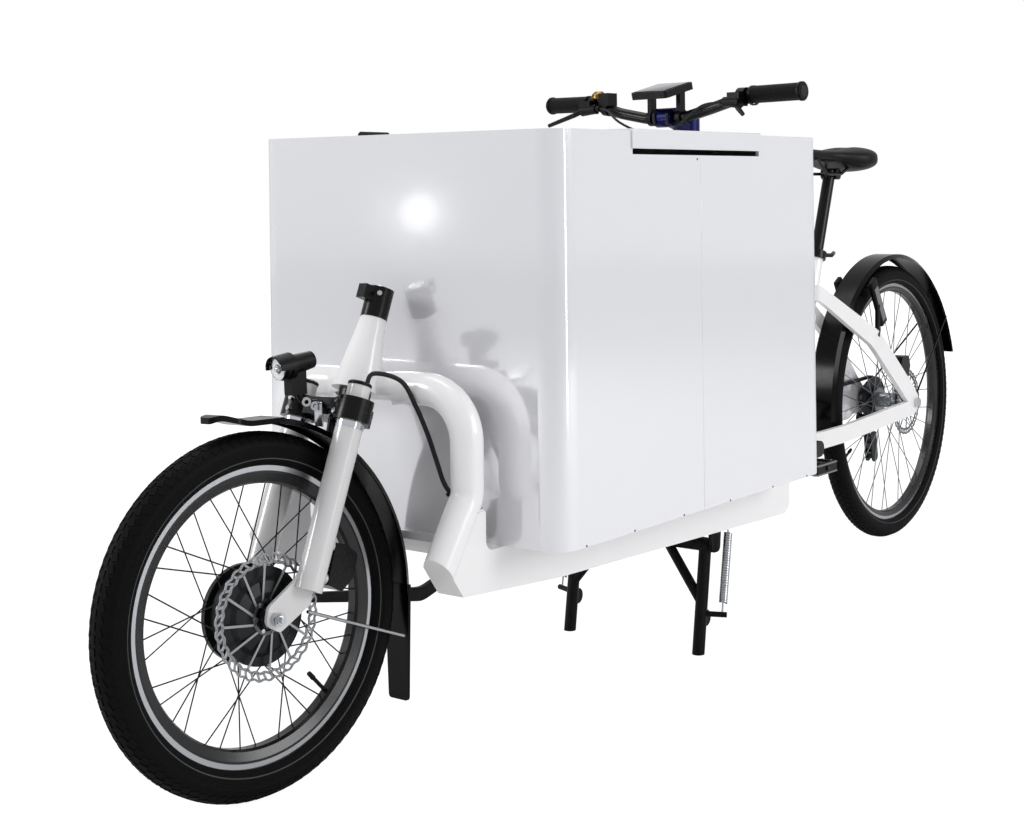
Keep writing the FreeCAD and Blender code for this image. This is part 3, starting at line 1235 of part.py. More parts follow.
def main():
    front_wheel()
    rear_wheel()
    fork()
    box()
    lid()
    load_frame()
    rear_frame()
    rear_fittings()
    cranks()
    stand()
    handlebar()
    tie_rod()
    park()
    front_cable()
    os.makedirs("parts", exist_ok=True)
    for name, shape in nodes.items():
        moved = shape.copy()
        moved.translate(V(0, -ORIGIN_Y, 0))
        moved.exportStep("parts/" + name + ".step")


main()
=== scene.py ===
import bmesh
import bpy
import json
import math
from mathutils import Matrix, Vector


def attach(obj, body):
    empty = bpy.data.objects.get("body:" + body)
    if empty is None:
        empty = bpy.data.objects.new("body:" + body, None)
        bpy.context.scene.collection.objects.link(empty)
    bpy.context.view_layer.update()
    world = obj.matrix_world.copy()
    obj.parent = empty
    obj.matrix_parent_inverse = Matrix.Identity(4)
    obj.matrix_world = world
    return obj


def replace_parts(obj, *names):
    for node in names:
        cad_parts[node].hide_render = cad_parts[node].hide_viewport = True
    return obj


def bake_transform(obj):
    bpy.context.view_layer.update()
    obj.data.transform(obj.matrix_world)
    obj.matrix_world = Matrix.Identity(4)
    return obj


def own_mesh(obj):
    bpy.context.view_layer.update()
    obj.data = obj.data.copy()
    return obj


# A two-wheeled cargo bike on its centre stand, with a closed white load box.
# Metres. +Z is up, the bike faces -Y and +X is the rider's left.
# Pieces are drawn in the bike's own directions: y = 0 at the front axle with the wheel straight ahead.
# A placing matrix then puts them where the frame stands.

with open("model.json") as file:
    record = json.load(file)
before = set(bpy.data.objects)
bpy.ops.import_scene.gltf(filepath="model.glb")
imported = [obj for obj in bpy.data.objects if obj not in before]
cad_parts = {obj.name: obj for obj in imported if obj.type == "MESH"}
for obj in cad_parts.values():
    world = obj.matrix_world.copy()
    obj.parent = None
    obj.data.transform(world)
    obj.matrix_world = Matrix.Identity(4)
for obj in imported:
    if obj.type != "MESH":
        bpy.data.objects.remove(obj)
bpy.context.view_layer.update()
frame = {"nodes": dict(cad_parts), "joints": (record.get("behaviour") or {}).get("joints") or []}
nodes = frame["nodes"]
joints = {joint["name"]: joint for joint in frame["joints"]}

MM = 0.001
WHEELBASE = 2.114
FRONT_WHEEL_R = 0.258
REAR_WHEEL_R = 0.329
BB_Y = WHEELBASE - 0.529
BB_Z = 0.288
RAKE = math.radians(22.0)
PARK_STEER = math.radians(-7.6)
COLUMN_Y = 1.195
GRIP_Y = COLUMN_Y - 0.063
GRIP_Z = 1.03
FRONT_AXLE = Vector((0, 0, FRONT_WHEEL_R))
REAR_AXLE = Vector((0, WHEELBASE, REAR_WHEEL_R))
FRONT_TYRE_D = 0.055
REAR_TYRE_D = 0.050
FRONT_RIM_R = 0.210
REAR_RIM_R = 0.286

FRONT_Y = joints["rear_wheel_spin"]["pos_m"][1] - WHEELBASE
STEER_FOOT = Vector(joints["steering"]["pos_m"])
STEER_AXIS = Vector(joints["steering"]["axis"])


def turn_about(point, axis, angle):
    """A turn about a line through a point."""
    there = Matrix.Translation(point)
    return there @ Matrix.Rotation(angle, 4, axis) @ there.inverted()


on_frame = Matrix.Translation((0, FRONT_Y, 0))
on_fork = turn_about(STEER_FOOT, STEER_AXIS, PARK_STEER) @ on_frame
on_bars = on_frame @ turn_about(Vector((0, COLUMN_Y, 0)), Vector((0, 0, 1)), PARK_STEER * math.cos(RAKE))
FORK_FOOT = on_frame.inverted() @ STEER_FOOT
AHEAD = Vector((0, -math.cos(RAKE), math.sin(RAKE)))


def fork_point(x, up, ahead):
    """A point on the straight-ahead fork, in millimetres across, along the steering axis and ahead of it."""
    return FORK_FOOT + Vector((x * MM, 0, 0)) + STEER_AXIS * (up * MM) + AHEAD * (ahead * MM)


def mm(x, y, z):
    """A point given in millimetres."""
    return Vector((x, y, z)) * MM


# Shapes. Each adds to a mesh under construction, in the bike's own directions.


def upright(start, end):
    """A placing matrix whose Z axis runs from start to end, at their middle."""
    run = end - start
    turn = run.to_track_quat("Z", "Y").to_matrix().to_4x4()
    return Matrix.Translation((start + end) / 2) @ turn


def rod(shape, start, end, radius, end_radius=None, sides=24):
    """A round bar between two points, tapered when end_radius is given."""
    tip = radius if end_radius is None else end_radius
    place = upright(start, end)
    depth = (end - start).length
    bmesh.ops.create_cone(
        shape, cap_ends=True, segments=sides, radius1=radius, radius2=tip, depth=depth, matrix=place
    )


def ball(shape, centre, radius, scale=(1, 1, 1)):
    """A sphere, or an egg when scale is given."""
    place = Matrix.Translation(centre) @ Matrix.Diagonal((*scale, 1.0))
    bmesh.ops.create_uvsphere(shape, u_segments=28, v_segments=18, radius=radius, matrix=place)


def brick(shape, low, high, round_by=0.0, turn=None):
    """A box between two corners, with its edges rounded by round_by."""
    size = Matrix.Diagonal((*(high - low), 1.0))
    place = Matrix.Translation((low + high) / 2) @ (turn or Matrix.Identity(4)) @ size
    verts = bmesh.ops.create_cube(shape, size=1.0, matrix=place)["verts"]
    if round_by:
        edges = list({edge for vert in verts for edge in vert.link_edges})
        bmesh.ops.bevel(
            shape, geom=edges, offset=round_by, segments=3, profile=0.5, affect="EDGES", material=-1
        )


def flat_bar(shape, start, end, width, thickness):
    """A flat bar between two points that share an X, with its thickness along X."""
    run = end - start
    turn = Matrix.Rotation(math.atan2(run.z, run.y), 4, "X")
    size = Matrix.Diagonal((thickness, run.length + width * 0.3, width, 1.0))
    bmesh.ops.create_cube(shape, size=1.0, matrix=Matrix.Translation((start + end) / 2) @ turn @ size)


def spun(shape, rows, place, steps=96):
    """A closed outline of (along, radius) rows in millimetres, turned about the placing matrix's X axis."""
    ring = bmesh.new()
    verts = [ring.verts.new((along * MM, 0.0, radius * MM)) for along, radius in rows]
    edges = [ring.edges.new((a, b)) for a, b in zip(verts, verts[1:] + verts[:1])]
    bmesh.ops.spin(
        ring, geom=verts + edges, cent=(0, 0, 0), axis=(1, 0, 0), dvec=(0, 0, 0), angle=2 * math.pi,
        steps=steps, use_merge=True
    )
    bmesh.ops.remove_doubles(ring, verts=ring.verts, dist=0.00001)
    ring.transform(place)
    pour(ring, shape)


def pour(source, shape):
    """Moves a finished shape into another one."""
    mesh = bpy.data.meshes.new("part")
    source.to_mesh(mesh)
    source.free()
    shape.from_mesh(mesh)
    bpy.data.meshes.remove(mesh)


def along_x(point, direction=Vector((1, 0, 0))):
    """A placing matrix at a point whose X axis runs along a direction."""
    turn = direction.to_track_quat("X", "Z").to_matrix().to_4x4()
    return Matrix.Translation(point) @ turn


def smooth_path(points, per_run=10):
    """A smooth curve through the points, as a list with per_run steps from each to the next."""
    ends = [points[0] * 2 - points[1]] + list(points) + [points[-1] * 2 - points[-2]]
    path = []
    for a, b, c, d in zip(ends, ends[1:], ends[2:], ends[3:]):
        slope = c - a
        bend = a * 2 - b * 5 + c * 4 - d
        twist = b * 3 - a - c * 3 + d
        for step in range(per_run):
            t = step / per_run
            path.append(0.5 * (b * 2 + slope * t + bend * t ** 2 + twist * t ** 3))
    return path + [points[-1]]


def tube(shape, path, radius):
    """A round tube along a path, closed at its ends."""
    line = bpy.data.curves.new("tube", "CURVE")
    line.dimensions = "3D"
    line.bevel_depth = radius
    line.bevel_resolution = 2
    line.use_fill_caps = True
    spline = line.splines.new("POLY")
    spline.points.add(len(path) - 1)
    for point, place in zip(spline.points, path):
        point.co = (*place, 1.0)
    holder = bpy.data.objects.new("tube", line)
    mesh = bpy.data.meshes.new_from_object(holder)
    shape.from_mesh(mesh)
    bpy.data.objects.remove(holder)
    bpy.data.curves.remove(line)
    bpy.data.meshes.remove(mesh)


def piece(name, shape, finish, body, place=on_frame, sharp=35.0):
    """Makes the shape an object of a finish, with its place in its mesh, and lets a body carry it."""
    shape.transform(place)
    bmesh.ops.recalc_face_normals(shape, faces=shape.faces)
    mesh = bpy.data.meshes.new(name)
    shape.to_mesh(mesh)
    shape.free()
    mesh.shade_smooth()
    mesh.set_sharp_from_angle(angle=math.radians(sharp))
    mesh.materials.append(made[finish])
    made_piece = bpy.data.objects.new(name, mesh)
    bpy.context.scene.collection.objects.link(made_piece)
    if body:
        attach(made_piece, body)
    return made_piece


# Materials


def colour(hex_code):
    """An sRGB hex colour as linear red, green, blue and alpha."""
    channels = []
    for start in (1, 3, 5):
        value = int(hex_code[start:start + 2], 16) / 255
        channels.append(value / 12.92 if value <= 0.04045 else ((value + 0.055) / 1.055) ** 2.4)
    return (*channels, 1.0)


def add_node(tree, kind, settings=None, links=None):
    """Adds a shader node, sets its sockets or properties, and links sockets to other nodes' outputs."""
    node = tree.nodes.new(kind)
    for name, value in (settings or {}).items():
        if isinstance(name, int) or name in node.inputs:
            node.inputs[name].default_value = value
        else:
            setattr(node, name, value)
    for name, source in (links or {}).items():
        tree.links.new(source, node.inputs[name])
    return node


def axle_space(tree, place, matrix, centre):
    """Distance along an axle and distance from it, as two outputs. centre is a point on the axle."""
    inside = (matrix @ Matrix.Translation(centre)).inverted()
    settings = {"Location": inside.translation, "Rotation": inside.to_euler()}
    local = add_node(tree, "ShaderNodeMapping", settings, {"Vector": place}).outputs["Vector"]
    split = add_node(tree, "ShaderNodeSeparateXYZ", {}, {0: local}).outputs
    flat = add_node(tree, "ShaderNodeCombineXYZ", {}, {1: split[1], 2: split[2]}).outputs[0]
    radius = add_node(tree, "ShaderNodeVectorMath", {"operation": "LENGTH"}, {0: flat}).outputs["Value"]
    return split[0], radius


def in_band(tree, value, low, high):
    """1 where the value lies between low and high, and 0 elsewhere."""
    above = add_node(tree, "ShaderNodeMath", {"operation": "GREATER_THAN", 1: low}, {0: value})
    below = add_node(tree, "ShaderNodeMath", {"operation": "LESS_THAN", 1: high}, {0: value})
    both = add_node(
        tree, "ShaderNodeMath", {"operation": "MULTIPLY"}, {0: above.outputs[0], 1: below.outputs[0]}
    )
    return both.outputs[0]


def surface(name, hex_code, roughness, metallic=0.0, **sockets):
    """A new material with its shader, and the object coordinates that its patterns read."""
    material = bpy.data.materials.new(name)
    material.use_nodes = True
    tree = material.node_tree
    shader = tree.nodes["Principled BSDF"]
    shader.inputs["Base Color"].default_value = colour(hex_code)
    shader.inputs["Roughness"].default_value = roughness
    shader.inputs["Metallic"].default_value = metallic
    for socket, value in sockets.items():
        shader.inputs[socket.replace("_", " ")].default_value = value
    place = add_node(tree, "ShaderNodeTexCoord").outputs["Object"]
    return material, tree, shader, place


def patches(tree, place, size_mm, low, high, detail=2.0, start=0.3, end=0.7):
    """A value that drifts from low to high over cloudy patches, between two levels of their noise."""
    cloud_settings = {"Scale": 1.0 / (size_mm * MM), "Detail": detail}
    cloud = add_node(tree, "ShaderNodeTexNoise", cloud_settings, {"Vector": place}).outputs["Fac"]
    drift_settings = {"From Min": start, "From Max": end, "To Min": low, "To Max": high}
    return add_node(tree, "ShaderNodeMapRange", drift_settings, {"Value": cloud}).outputs["Result"]


def uneven_gloss(tree, shader, place, size_mm, low, high):
    """Lets the roughness drift between two values over patches of a real size."""
    tree.links.new(patches(tree, place, size_mm, low, high), shader.inputs["Roughness"])


def grained(tree, shader, place, size_mm, depth_mm, detail=2.0):
    """Gives the surface a grain of a real size and depth."""
    grain_settings = {"Scale": 1.0 / (size_mm * MM), "Detail": detail}
    grain = add_node(tree, "ShaderNodeTexNoise", grain_settings, {"Vector": place}).outputs["Fac"]
    relief_settings = {"Strength": 1.0, "Distance": depth_mm * MM}
    relief = add_node(tree, "ShaderNodeBump", relief_settings, {"Height": grain})
    tree.links.new(relief.outputs["Normal"], shader.inputs["Normal"])


def ridged(tree, shader, along, pitch_mm, depth_mm, strength=1.0, limit=None):
    """Gives the surface ridges of a real pitch and depth along a distance, up to a limit if one is given."""
    crests = add_node(
        tree, "ShaderNodeMath", {"operation": "MULTIPLY", 1: 2 * math.pi / (pitch_mm * MM)}, {0: along}
    )
    height = add_node(tree, "ShaderNodeMath", {"operation": "SINE"}, {0: crests.outputs[0]}).outputs[0]
    if limit is not None:
        within = add_node(tree, "ShaderNodeMath", {"operation": "LESS_THAN", 1: limit}, {0: along})
        kept_part = {0: height, 1: within.outputs[0]}
        height = add_node(tree, "ShaderNodeMath", {"operation": "MULTIPLY"}, kept_part).outputs[0]
    relief_settings = {"Strength": strength, "Distance": depth_mm * MM}
    relief = add_node(tree, "ShaderNodeBump", relief_settings, {"Height": height})
    tree.links.new(relief.outputs["Normal"], shader.inputs["Normal"])


def painted_sheet():
    """White pearl lacquer on aluminium sheet: part diffuse, part a clear and slightly wavy mirror."""
    material, tree, shader, place = surface(
        "white_pearl_lacquer_on_sheet", "#EDEDF0", 0.1, 0.32, Coat_Weight=0.8
    )
    grained(tree, shader, place, 140.0, 0.5, 1.0)
    return material


def powder_coat_white():
    """White powder coat on welded tube: gloss, with a faint orange peel of 2.5 mm."""
    material, tree, shader, place = surface(
        "white_powder_coat", "#EEECEC", 0.26, Coat_Weight=0.5, Coat_Roughness=0.08
    )
    grained(tree, shader, place, 2.5, 0.03)
    return material


def fork_paint_with_painted_shade():
    """White sprayed gloss paint on the fork's cast lower legs, greyed to a painted shade, with a 3 mm orange
    peel.
    """
    material, tree, shader, place = surface(
        "white_fork_paint_greyed_for_shade", "#CFCECE", 0.24, Coat_Weight=0.6, Coat_Roughness=0.06
    )
    grained(tree, shader, place, 3.0, 0.02)
    return material


def powder_coat_black():
    """Black powder coat on steel: satin, with a sandy grain of 1.2 mm."""
    material, tree, shader, place = surface("black_powder_coat", "#040404", 0.4, Specular_IOR_Level=0.16)
    grained(tree, shader, place, 1.2, 0.05)
    return material


def black_anodised():
    """Black anodised aluminium: a tight satin sheen that catches long highlights."""
    material, tree, shader, place = surface(
        "black_anodised_aluminium", "#040404", 0.26, Specular_IOR_Level=0.22
    )
    uneven_gloss(tree, shader, place, 4.0, 0.24, 0.29)
    return material


def blue_anodised():
    """Navy blue anodised aluminium: dark, with a coloured metal sheen."""
    material, tree, shader, place = surface("navy_anodised_aluminium", "#0B104A", 0.3, 0.7)
    grained(tree, shader, place, 1.0, 0.01)
    return material


def rim_finish(name, matrix, centre, outer):
    """Rim extrusion: a turned bright brake band outside a black anodised bed, turned at 0.7 mm a pass."""
    material, tree, shader, place = surface(name, "#B9BCC0", 0.22)
    band_width = 0.0075
    radius = axle_space(tree, place, matrix, centre)[1]
    bright = in_band(tree, radius, outer - band_width, outer + 0.001)
    tone_settings = {"data_type": "RGBA", 6: colour("#0E0E10"), 7: colour("#B9BBBE")}
    tone = add_node(tree, "ShaderNodeMix", tone_settings, {0: bright})
    tree.links.new(tone.outputs[2], shader.inputs["Base Color"])
    tree.links.new(bright, shader.inputs["Metallic"])
    ridged(tree, shader, radius, 0.7, 0.01, 0.3)
    return material


def front_rim_finish():
    """The front rim's turned band and black bed."""
    return rim_finish("front_rim_turned_and_anodised", on_fork, FRONT_AXLE, FRONT_RIM_R)


def rear_rim_finish():
    """The rear rim's turned band and black bed."""
    return rim_finish("rear_rim_turned_and_anodised", on_frame, REAR_AXLE, REAR_RIM_R)


def hub_black():
    """Black-coated hub motor shell and spokes: dark satin metal."""
    return surface("black_coated_hub_and_spokes", "#141517", 0.36, 0.5)[0]


def hub_alloy():
    """Polished aluminium hub with bare stainless spokes: bright and a little soft."""
    return surface("bright_hub_and_spokes", "#8F9195", 0.3, 1.0)[0]


def disc_steel():
    """Stainless brake disc: ground faces with a fine grain of 1 mm."""
    material, tree, shader, place = surface("ground_stainless_disc", "#9A9C9F", 0.34, 1.0)
    grained(tree, shader, place, 1.0, 0.01)
    return material


def bright_steel():
    """Zinc and chrome plated steel: near mirror, a little uneven from place to place."""
    material, tree, shader, place = surface("bright_plated_steel", "#C6C8CB", 0.18, 1.0)
    uneven_gloss(tree, shader, place, 6.0, 0.14, 0.24)
    return material


def dark_steel():
    """Oiled steel of chain, sprockets and saddle rails: dark grey metal."""
    material, tree, shader, place = surface("oiled_dark_steel", "#3A3A3C", 0.36, 1.0)
    uneven_gloss(tree, shader, place, 5.0, 0.28, 0.46)
    return material


def guard_plastic():
    """Polished black polycarbonate mudguard: deep black with clear reflections."""
    material, tree, shader, place = surface(
        "gloss_black_polycarbonate", "#020202", 0.16, Specular_IOR_Level=0.14
    )
    uneven_gloss(tree, shader, place, 12.0, 0.14, 0.19)
    return material


def tyre_finish(name, matrix, centre, outer, section):
    """Vulcanised rubber: matt black with a dusty bloom, side ribs every 2.4 mm and a thin light line."""
    material, tree, shader, place = surface(name, "#040404", 0.6, Specular_IOR_Level=0.1)
    radius = axle_space(tree, place, matrix, centre)[1]
    dust = patches(tree, place, 9.0, 0.0, 0.6, detail=4.0, start=0.35)
    dusty_settings = {"data_type": "RGBA", 6: colour("#030303"), 7: colour("#070707")}
    dusty = add_node(tree, "ShaderNodeMix", dusty_settings, {0: dust}).outputs[2]
    line = in_band(tree, radius, outer - section * 0.71, outer - section * 0.68)
    lined = add_node(
        tree, "ShaderNodeMix", {"data_type": "RGBA", 7: colour("#4A4A49")}, {0: line, 6: dusty}
    )
    tree.links.new(lined.outputs[2], shader.inputs["Base Color"])
    ridged(tree, shader, radius, 2.4, 0.25, limit=outer - section * 0.38)
    return material


def front_tyre_finish():
    """The front tyre's rubber."""
    return tyre_finish("front_tyre_rubber", on_fork, FRONT_AXLE, FRONT_WHEEL_R, FRONT_TYRE_D)


def rear_tyre_finish():
    """The rear tyre's rubber."""
    return tyre_finish("rear_tyre_rubber", on_frame, REAR_AXLE, REAR_WHEEL_R, REAR_TYRE_D)


def moulded_plastic():
    """Injection-moulded black nylon: matt, with a leather-like grain of 0.8 mm."""
    material, tree, shader, place = surface("moulded_black_nylon", "#040404", 0.42, Specular_IOR_Level=0.18)
    grained(tree, shader, place, 0.8, 0.04)
    return material


def grip_rubber():
    """Soft black grip rubber: matt, with fine ribs round the grip every 4 mm."""
    material, tree, shader, place = surface("soft_grip_rubber", "#050505", 0.56, Specular_IOR_Level=0.18)
    along = axle_space(tree, place, on_bars, Vector((0, GRIP_Y, GRIP_Z)))[0]
    ridged(tree, shader, along, 4.0, 0.5)
    return material


def saddle_cover():
    """Black coated saddle cover: matt, with a leather grain of 1.4 mm."""
    material, tree, shader, place = surface("grained_saddle_cover", "#040404", 0.42, Specular_IOR_Level=0.2)
    grained(tree, shader, place, 1.4, 0.1)
    return material


def brass():
    """Polished brass bell: warm yellow metal."""
    return surface("polished_brass", "#7C6233", 0.26, 1.0)[0]


def cast_alloy():
    """Cast and tumbled aluminium: soft grey metal with a 1 mm grain."""
    material, tree, shader, place = surface("cast_aluminium", "#8A8B8D", 0.42, 0.9)
    grained(tree, shader, place, 1.0, 0.02)
    return material


def glass():
    """Clear polycarbonate lens: see-through with sharp reflections."""
    return surface("clear_lens", "#FFFFFF", 0.02, Transmission_Weight=1.0, IOR=1.49)[0]


def mirror():
    """Vacuum-metallised reflector: a clean mirror."""
    return surface("metallised_reflector", "#D8DADD", 0.08, 1.0)[0]


def amber():
    """Moulded amber acrylic reflector: 2.5 mm cells, 0.6 mm deep, under a clear orange face."""
    material, tree, shader, place = surface("amber_reflector", "#C4600F", 0.15, Coat_Weight=0.8)
    scale = 1.0 / (2.5 * MM)
    cells = add_node(tree, "ShaderNodeTexVoronoi", {"Scale": scale}, {"Vector": place}).outputs["Distance"]
    relief = add_node(tree, "ShaderNodeBump", {"Strength": 1.0, "Distance": 0.6 * MM}, {"Height": cells})
    tree.links.new(relief.outputs["Normal"], shader.inputs["Normal"])
    return material


def screen_glass():
    """The display's dark cover glass: black and mirror-smooth."""
    return surface("dark_display_glass", "#07080B", 0.06, Coat_Weight=1.0)[0]


def sleeve():
    """Woven black cable sleeve: matt, with a braid of 1.2 mm, 0.3 mm deep."""
    material, tree, shader, place = surface("braided_cable_sleeve", "#0A0B10", 0.55, Specular_IOR_Level=0.4)
    bands_a_turn = 20
    weave_settings = {"Scale": 2 * math.pi / (bands_a_turn * 1.2 * MM), "Distortion": 1.5}
    weave = add_node(tree, "ShaderNodeTexWave", weave_settings, {"Vector": place}).outputs["Fac"]
    relief = add_node(tree, "ShaderNodeBump", {"Strength": 1.0, "Distance": 0.3 * MM}, {"Height": weave})
    tree.links.new(relief.outputs["Normal"], shader.inputs["Normal"])
    return material


FINISHES = {
    painted_sheet: ["box_front", "box_rear", "box_floor", "lid", "front_cover", "chain_guard"],
    powder_coat_white: [
        "head_frame", "rails", "cross_members", "column_tube", "main_beam", "seat_tube", "top_tube",
        "rear_stays",
    ],
    # The fork's white paint, greyed to a painted shade.
    fork_paint_with_painted_shade: ["fork_legs"],
    powder_coat_black: [
        "hinge_brackets", "lid_hinges", "stand_brackets", "fork_arm", "steering_shaft", "tie_rod", "stand",
    ],
    black_anodised: [
        "seat_clamp", "seatpost", "fork_crown", "steerer_clamp", "front_caliper", "rear_caliper",
        "gear_mech", "handlebar", "brake_levers", "crankset",
    ],
    blue_anodised: ["stem"],
    front_rim_finish: ["front_rim"],
    rear_rim_finish: ["rear_rim"],
    hub_black: ["front_hub"],
    hub_alloy: ["rear_hub"],
    disc_steel: ["front_disc", "rear_disc"],
    bright_steel: ["front_axle", "rear_axle", "stand_springs"],
    dark_steel: ["chain", "cassette", "saddle_rails"],
    guard_plastic: ["front_guard", "rear_guard"],
    front_tyre_finish: ["front_tyre"],
    rear_tyre_finish: ["rear_tyre"],
    moulded_plastic: ["lamp", "display", "thumb_control", "pedal_left", "pedal_right", "ring_lock"],
    grip_rubber: ["grips"],
    saddle_cover: ["saddle"],
    brass: ["bell"],
    sleeve: ["front_cable"],
    cast_alloy: [],
    glass: [],
    mirror: [],
    amber: [],
    screen_glass: [],
}
made = {}
for finish, names in FINISHES.items():
    made[finish] = finish()
    for name in names:
        nodes[name].data.materials.clear()
        nodes[name].data.materials.append(made[finish])


# Wheels. Each wheel is the body that carries it, its placing matrix and its axle's middle.


FRONT_WHEEL = ("front_wheel", on_fork, FRONT_AXLE)
REAR_WHEEL = ("rear_wheel", on_frame, REAR_AXLE)


def tyre(name, node, finish, section, rim, blocks, body, matrix, centre):
    """A round tyre with five rows of raised tread blocks, in place of the plain solid."""
    outer = centre.z
    half = section / 2
    middle = outer - half
    tread_depth = 0.0013
    bead = math.asin((middle - rim) / half)
    steps = 30
    rows = []
    for k in range(steps + 1):
        turn = -bead + (math.pi + 2 * bead) * k / steps
        worn = half - tread_depth * max(0.0, math.sin(turn))
        rows.append((worn * math.cos(turn) / MM, (middle + worn * math.sin(turn)) / MM))
    shape = bmesh.new()
    spun(shape, rows, along_x(centre), 180)
    row_angle = 0.42
    block_skew = 0.35
    block_size = Matrix.Diagonal((half * 0.32, 4.4 * outer / blocks, tread_depth * 1.8, 1.0))
    to_axle = Matrix.Translation(centre)
    to_middle = Matrix.Translation((0, 0, middle))
    to_tread = Matrix.Translation((0, 0, half - tread_depth * 1.15))
    for k in range(blocks):
        for row in (-2, -1, 0, 1, 2):
            spin = Matrix.Rotation(2 * math.pi * (k + 0.5 * (row % 2)) / blocks, 4, "X")
            lean = Matrix.Rotation(row * row_angle, 4, "Y")
            skew = Matrix.Rotation(math.copysign(block_skew, row) if row else 0.0, 4, "Z")
            block = to_axle @ spin @ to_middle @ lean @ to_tread @ skew @ block_size
            bmesh.ops.create_cube(shape, size=1.0, matrix=block)
    made_tyre = piece(name, shape, finish, body, matrix, 40.0)
    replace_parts(made_tyre, node)


def rotor(name, node, x, outer, body, matrix, centre):
    """A brake disc as a wavy lattice rim on twelve slanted arms. x is its place along the axle."""
    bore = 0.0225
    thickness = 0.0018
    segments = 180
    waves = 30
    webs = 45
    arms = 12
    full = 2 * math.pi
    shape = bmesh.new()

    def at(radius, angle):
        return centre + Vector((x, radius * math.sin(angle), radius * math.cos(angle)))

    rings = [(outer - 0.0032, 0.0014, 0.0030), (outer - 0.0135, 0.0012, 0.0034), (bore, 0.0, 0.0050)]
    for radius, wave_height, width in rings:
        for k in range(segments):
            ends = [full * (k + j) / segments for j in (0, 1)]
            points = [at(radius + wave_height * math.cos(waves * angle), angle) for angle in ends]
            flat_bar(shape, *points, width, thickness)
    for k in range(webs):
        angle = full * k / webs
        flat_bar(shape, at(outer - 0.004, angle), at(outer - 0.0130, angle + 0.07), 0.0030, thickness)
    for k in range(arms):
        angle = full * k / arms
        flat_bar(shape, at(outer - 0.0145, angle), at(bore + 0.001, angle - 0.30), 0.0034, thickness)
    made_rotor = piece(name, shape, disc_steel, body, matrix, 30.0)
    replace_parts(made_rotor, node)


def valve(name, inner, angle, body, matrix, centre):
    """The valve stem and its cap, that stand in from the rim at an angle round the wheel."""
    shape = bmesh.new()
    out = Vector((0, math.sin(angle), math.cos(angle)))
    foot = centre + out * (inner + 0.001)
    shoulder = centre + out * (inner - 0.03)
    tip = centre + out * (inner - 0.042)
    rod(shape, foot, shoulder, 0.003, sides=12)
    rod(shape, shoulder, tip, 0.004, 0.0035, 12)
    piece(name, shape, moulded_plastic, body, matrix)


def bolt_ring(name, face, count, radius, head, height, body, matrix, centre):
    """Hexagon bolt heads in a circle on a hub's face. face is its place along the axle."""
    shape = bmesh.new()
    out = Vector((math.copysign(height, face), 0, 0))
    for k in range(count):
        angle = 2 * math.pi * (k + 0.5) / count
        foot = centre + Vector((face, radius * math.sin(angle), radius * math.cos(angle)))
        rod(shape, foot, foot + out, head, head * 0.9, 6)
    piece(name, shape, bright_steel, body, matrix, 20.0)


tyre("front_tyre_tread", "front_tyre", front_tyre_finish, FRONT_TYRE_D, FRONT_RIM_R, 96, *FRONT_WHEEL)
tyre("rear_tyre_tread", "rear_tyre", rear_tyre_finish, REAR_TYRE_D, REAR_RIM_R, 122, *REAR_WHEEL)
rotor("front_rotor", "front_disc", 0.035, 0.090, *FRONT_WHEEL)
rotor("rear_rotor", "rear_disc", 0.048, 0.080, *REAR_WHEEL)
valve("front_valve", 0.184, 2.4, *FRONT_WHEEL)
valve("rear_valve", 0.266, -2.0, *REAR_WHEEL)
bolt_ring("motor_bolts", -0.029, 8, 0.045, 0.004, 0.003, *FRONT_WHEEL)
bolt_ring("front_disc_bolts", 0.036, 6, 0.020, 0.0035, 0.0025, *FRONT_WHEEL)
bolt_ring("rear_disc_bolts", 0.049, 6, 0.020, 0.0035, 0.0025, *REAR_WHEEL)


# Front end. Places on the fork are millimetres across, up the steering axis and ahead of it.


LEG_X = 62
LEG_AHEAD = 45


def head_lamp():
    """The lamp's mirror bowl, its bright centre and the clear lens, inside the hood."""
    front = fork_point(0, 341, 150)
    back = fork_point(0, 372, 97)
    inward = (back - front).normalized()
    facing = along_x(front, inward)
    bowl = bmesh.new()
    spun(bowl, [(-1.5, 16.2), (-1.5, 14.0), (0.4, 5.0), (1.2, 5.0), (1.2, 16.2)], facing, 48)
    ball(bowl, front - inward * 0.001, 0.0045)
    piece("lamp_bowl", bowl, mirror, "fork", on_fork)
    lens = bmesh.new()
    outline = [(-4.2, 0.0), (-3.4, 10.0), (-1.6, 16.4), (-2.6, 16.4), (-4.0, 10.0), (-4.8, 0.0)]
    spun(lens, outline, facing, 48)
    piece("lamp_lens", lens, glass, "fork", on_fork)
    collar = bmesh.new()
    spun(collar, [(4, 17.0), (4, 18.4), (12, 18.0), (12, 16.0)], facing, 48)
    piece("lamp_collar", collar, moulded_plastic, "fork", on_fork)
    links = bmesh.new()
    top = front + mm(6, 44, -52)
    low = fork_point(6, 306, 38)
    plate = fork_point(9, 298, 64)
    half_plate = mm(9, 1.2, 18)
    brick(links, plate - half_plate, plate + half_plate, 0.0008)
    link_facing = Vector((0.9, -0.45, 0))
    link_count = 4
    for k in range(link_count):
        at = top.lerp(low, k / (link_count - 1))
        spun(links, [(-1, 3.2), (-1, 6.8), (1, 6.8), (1, 3.2)], along_x(at, link_facing), 24)
    piece("lamp_strap_links", links, bright_steel, "fork", on_fork)


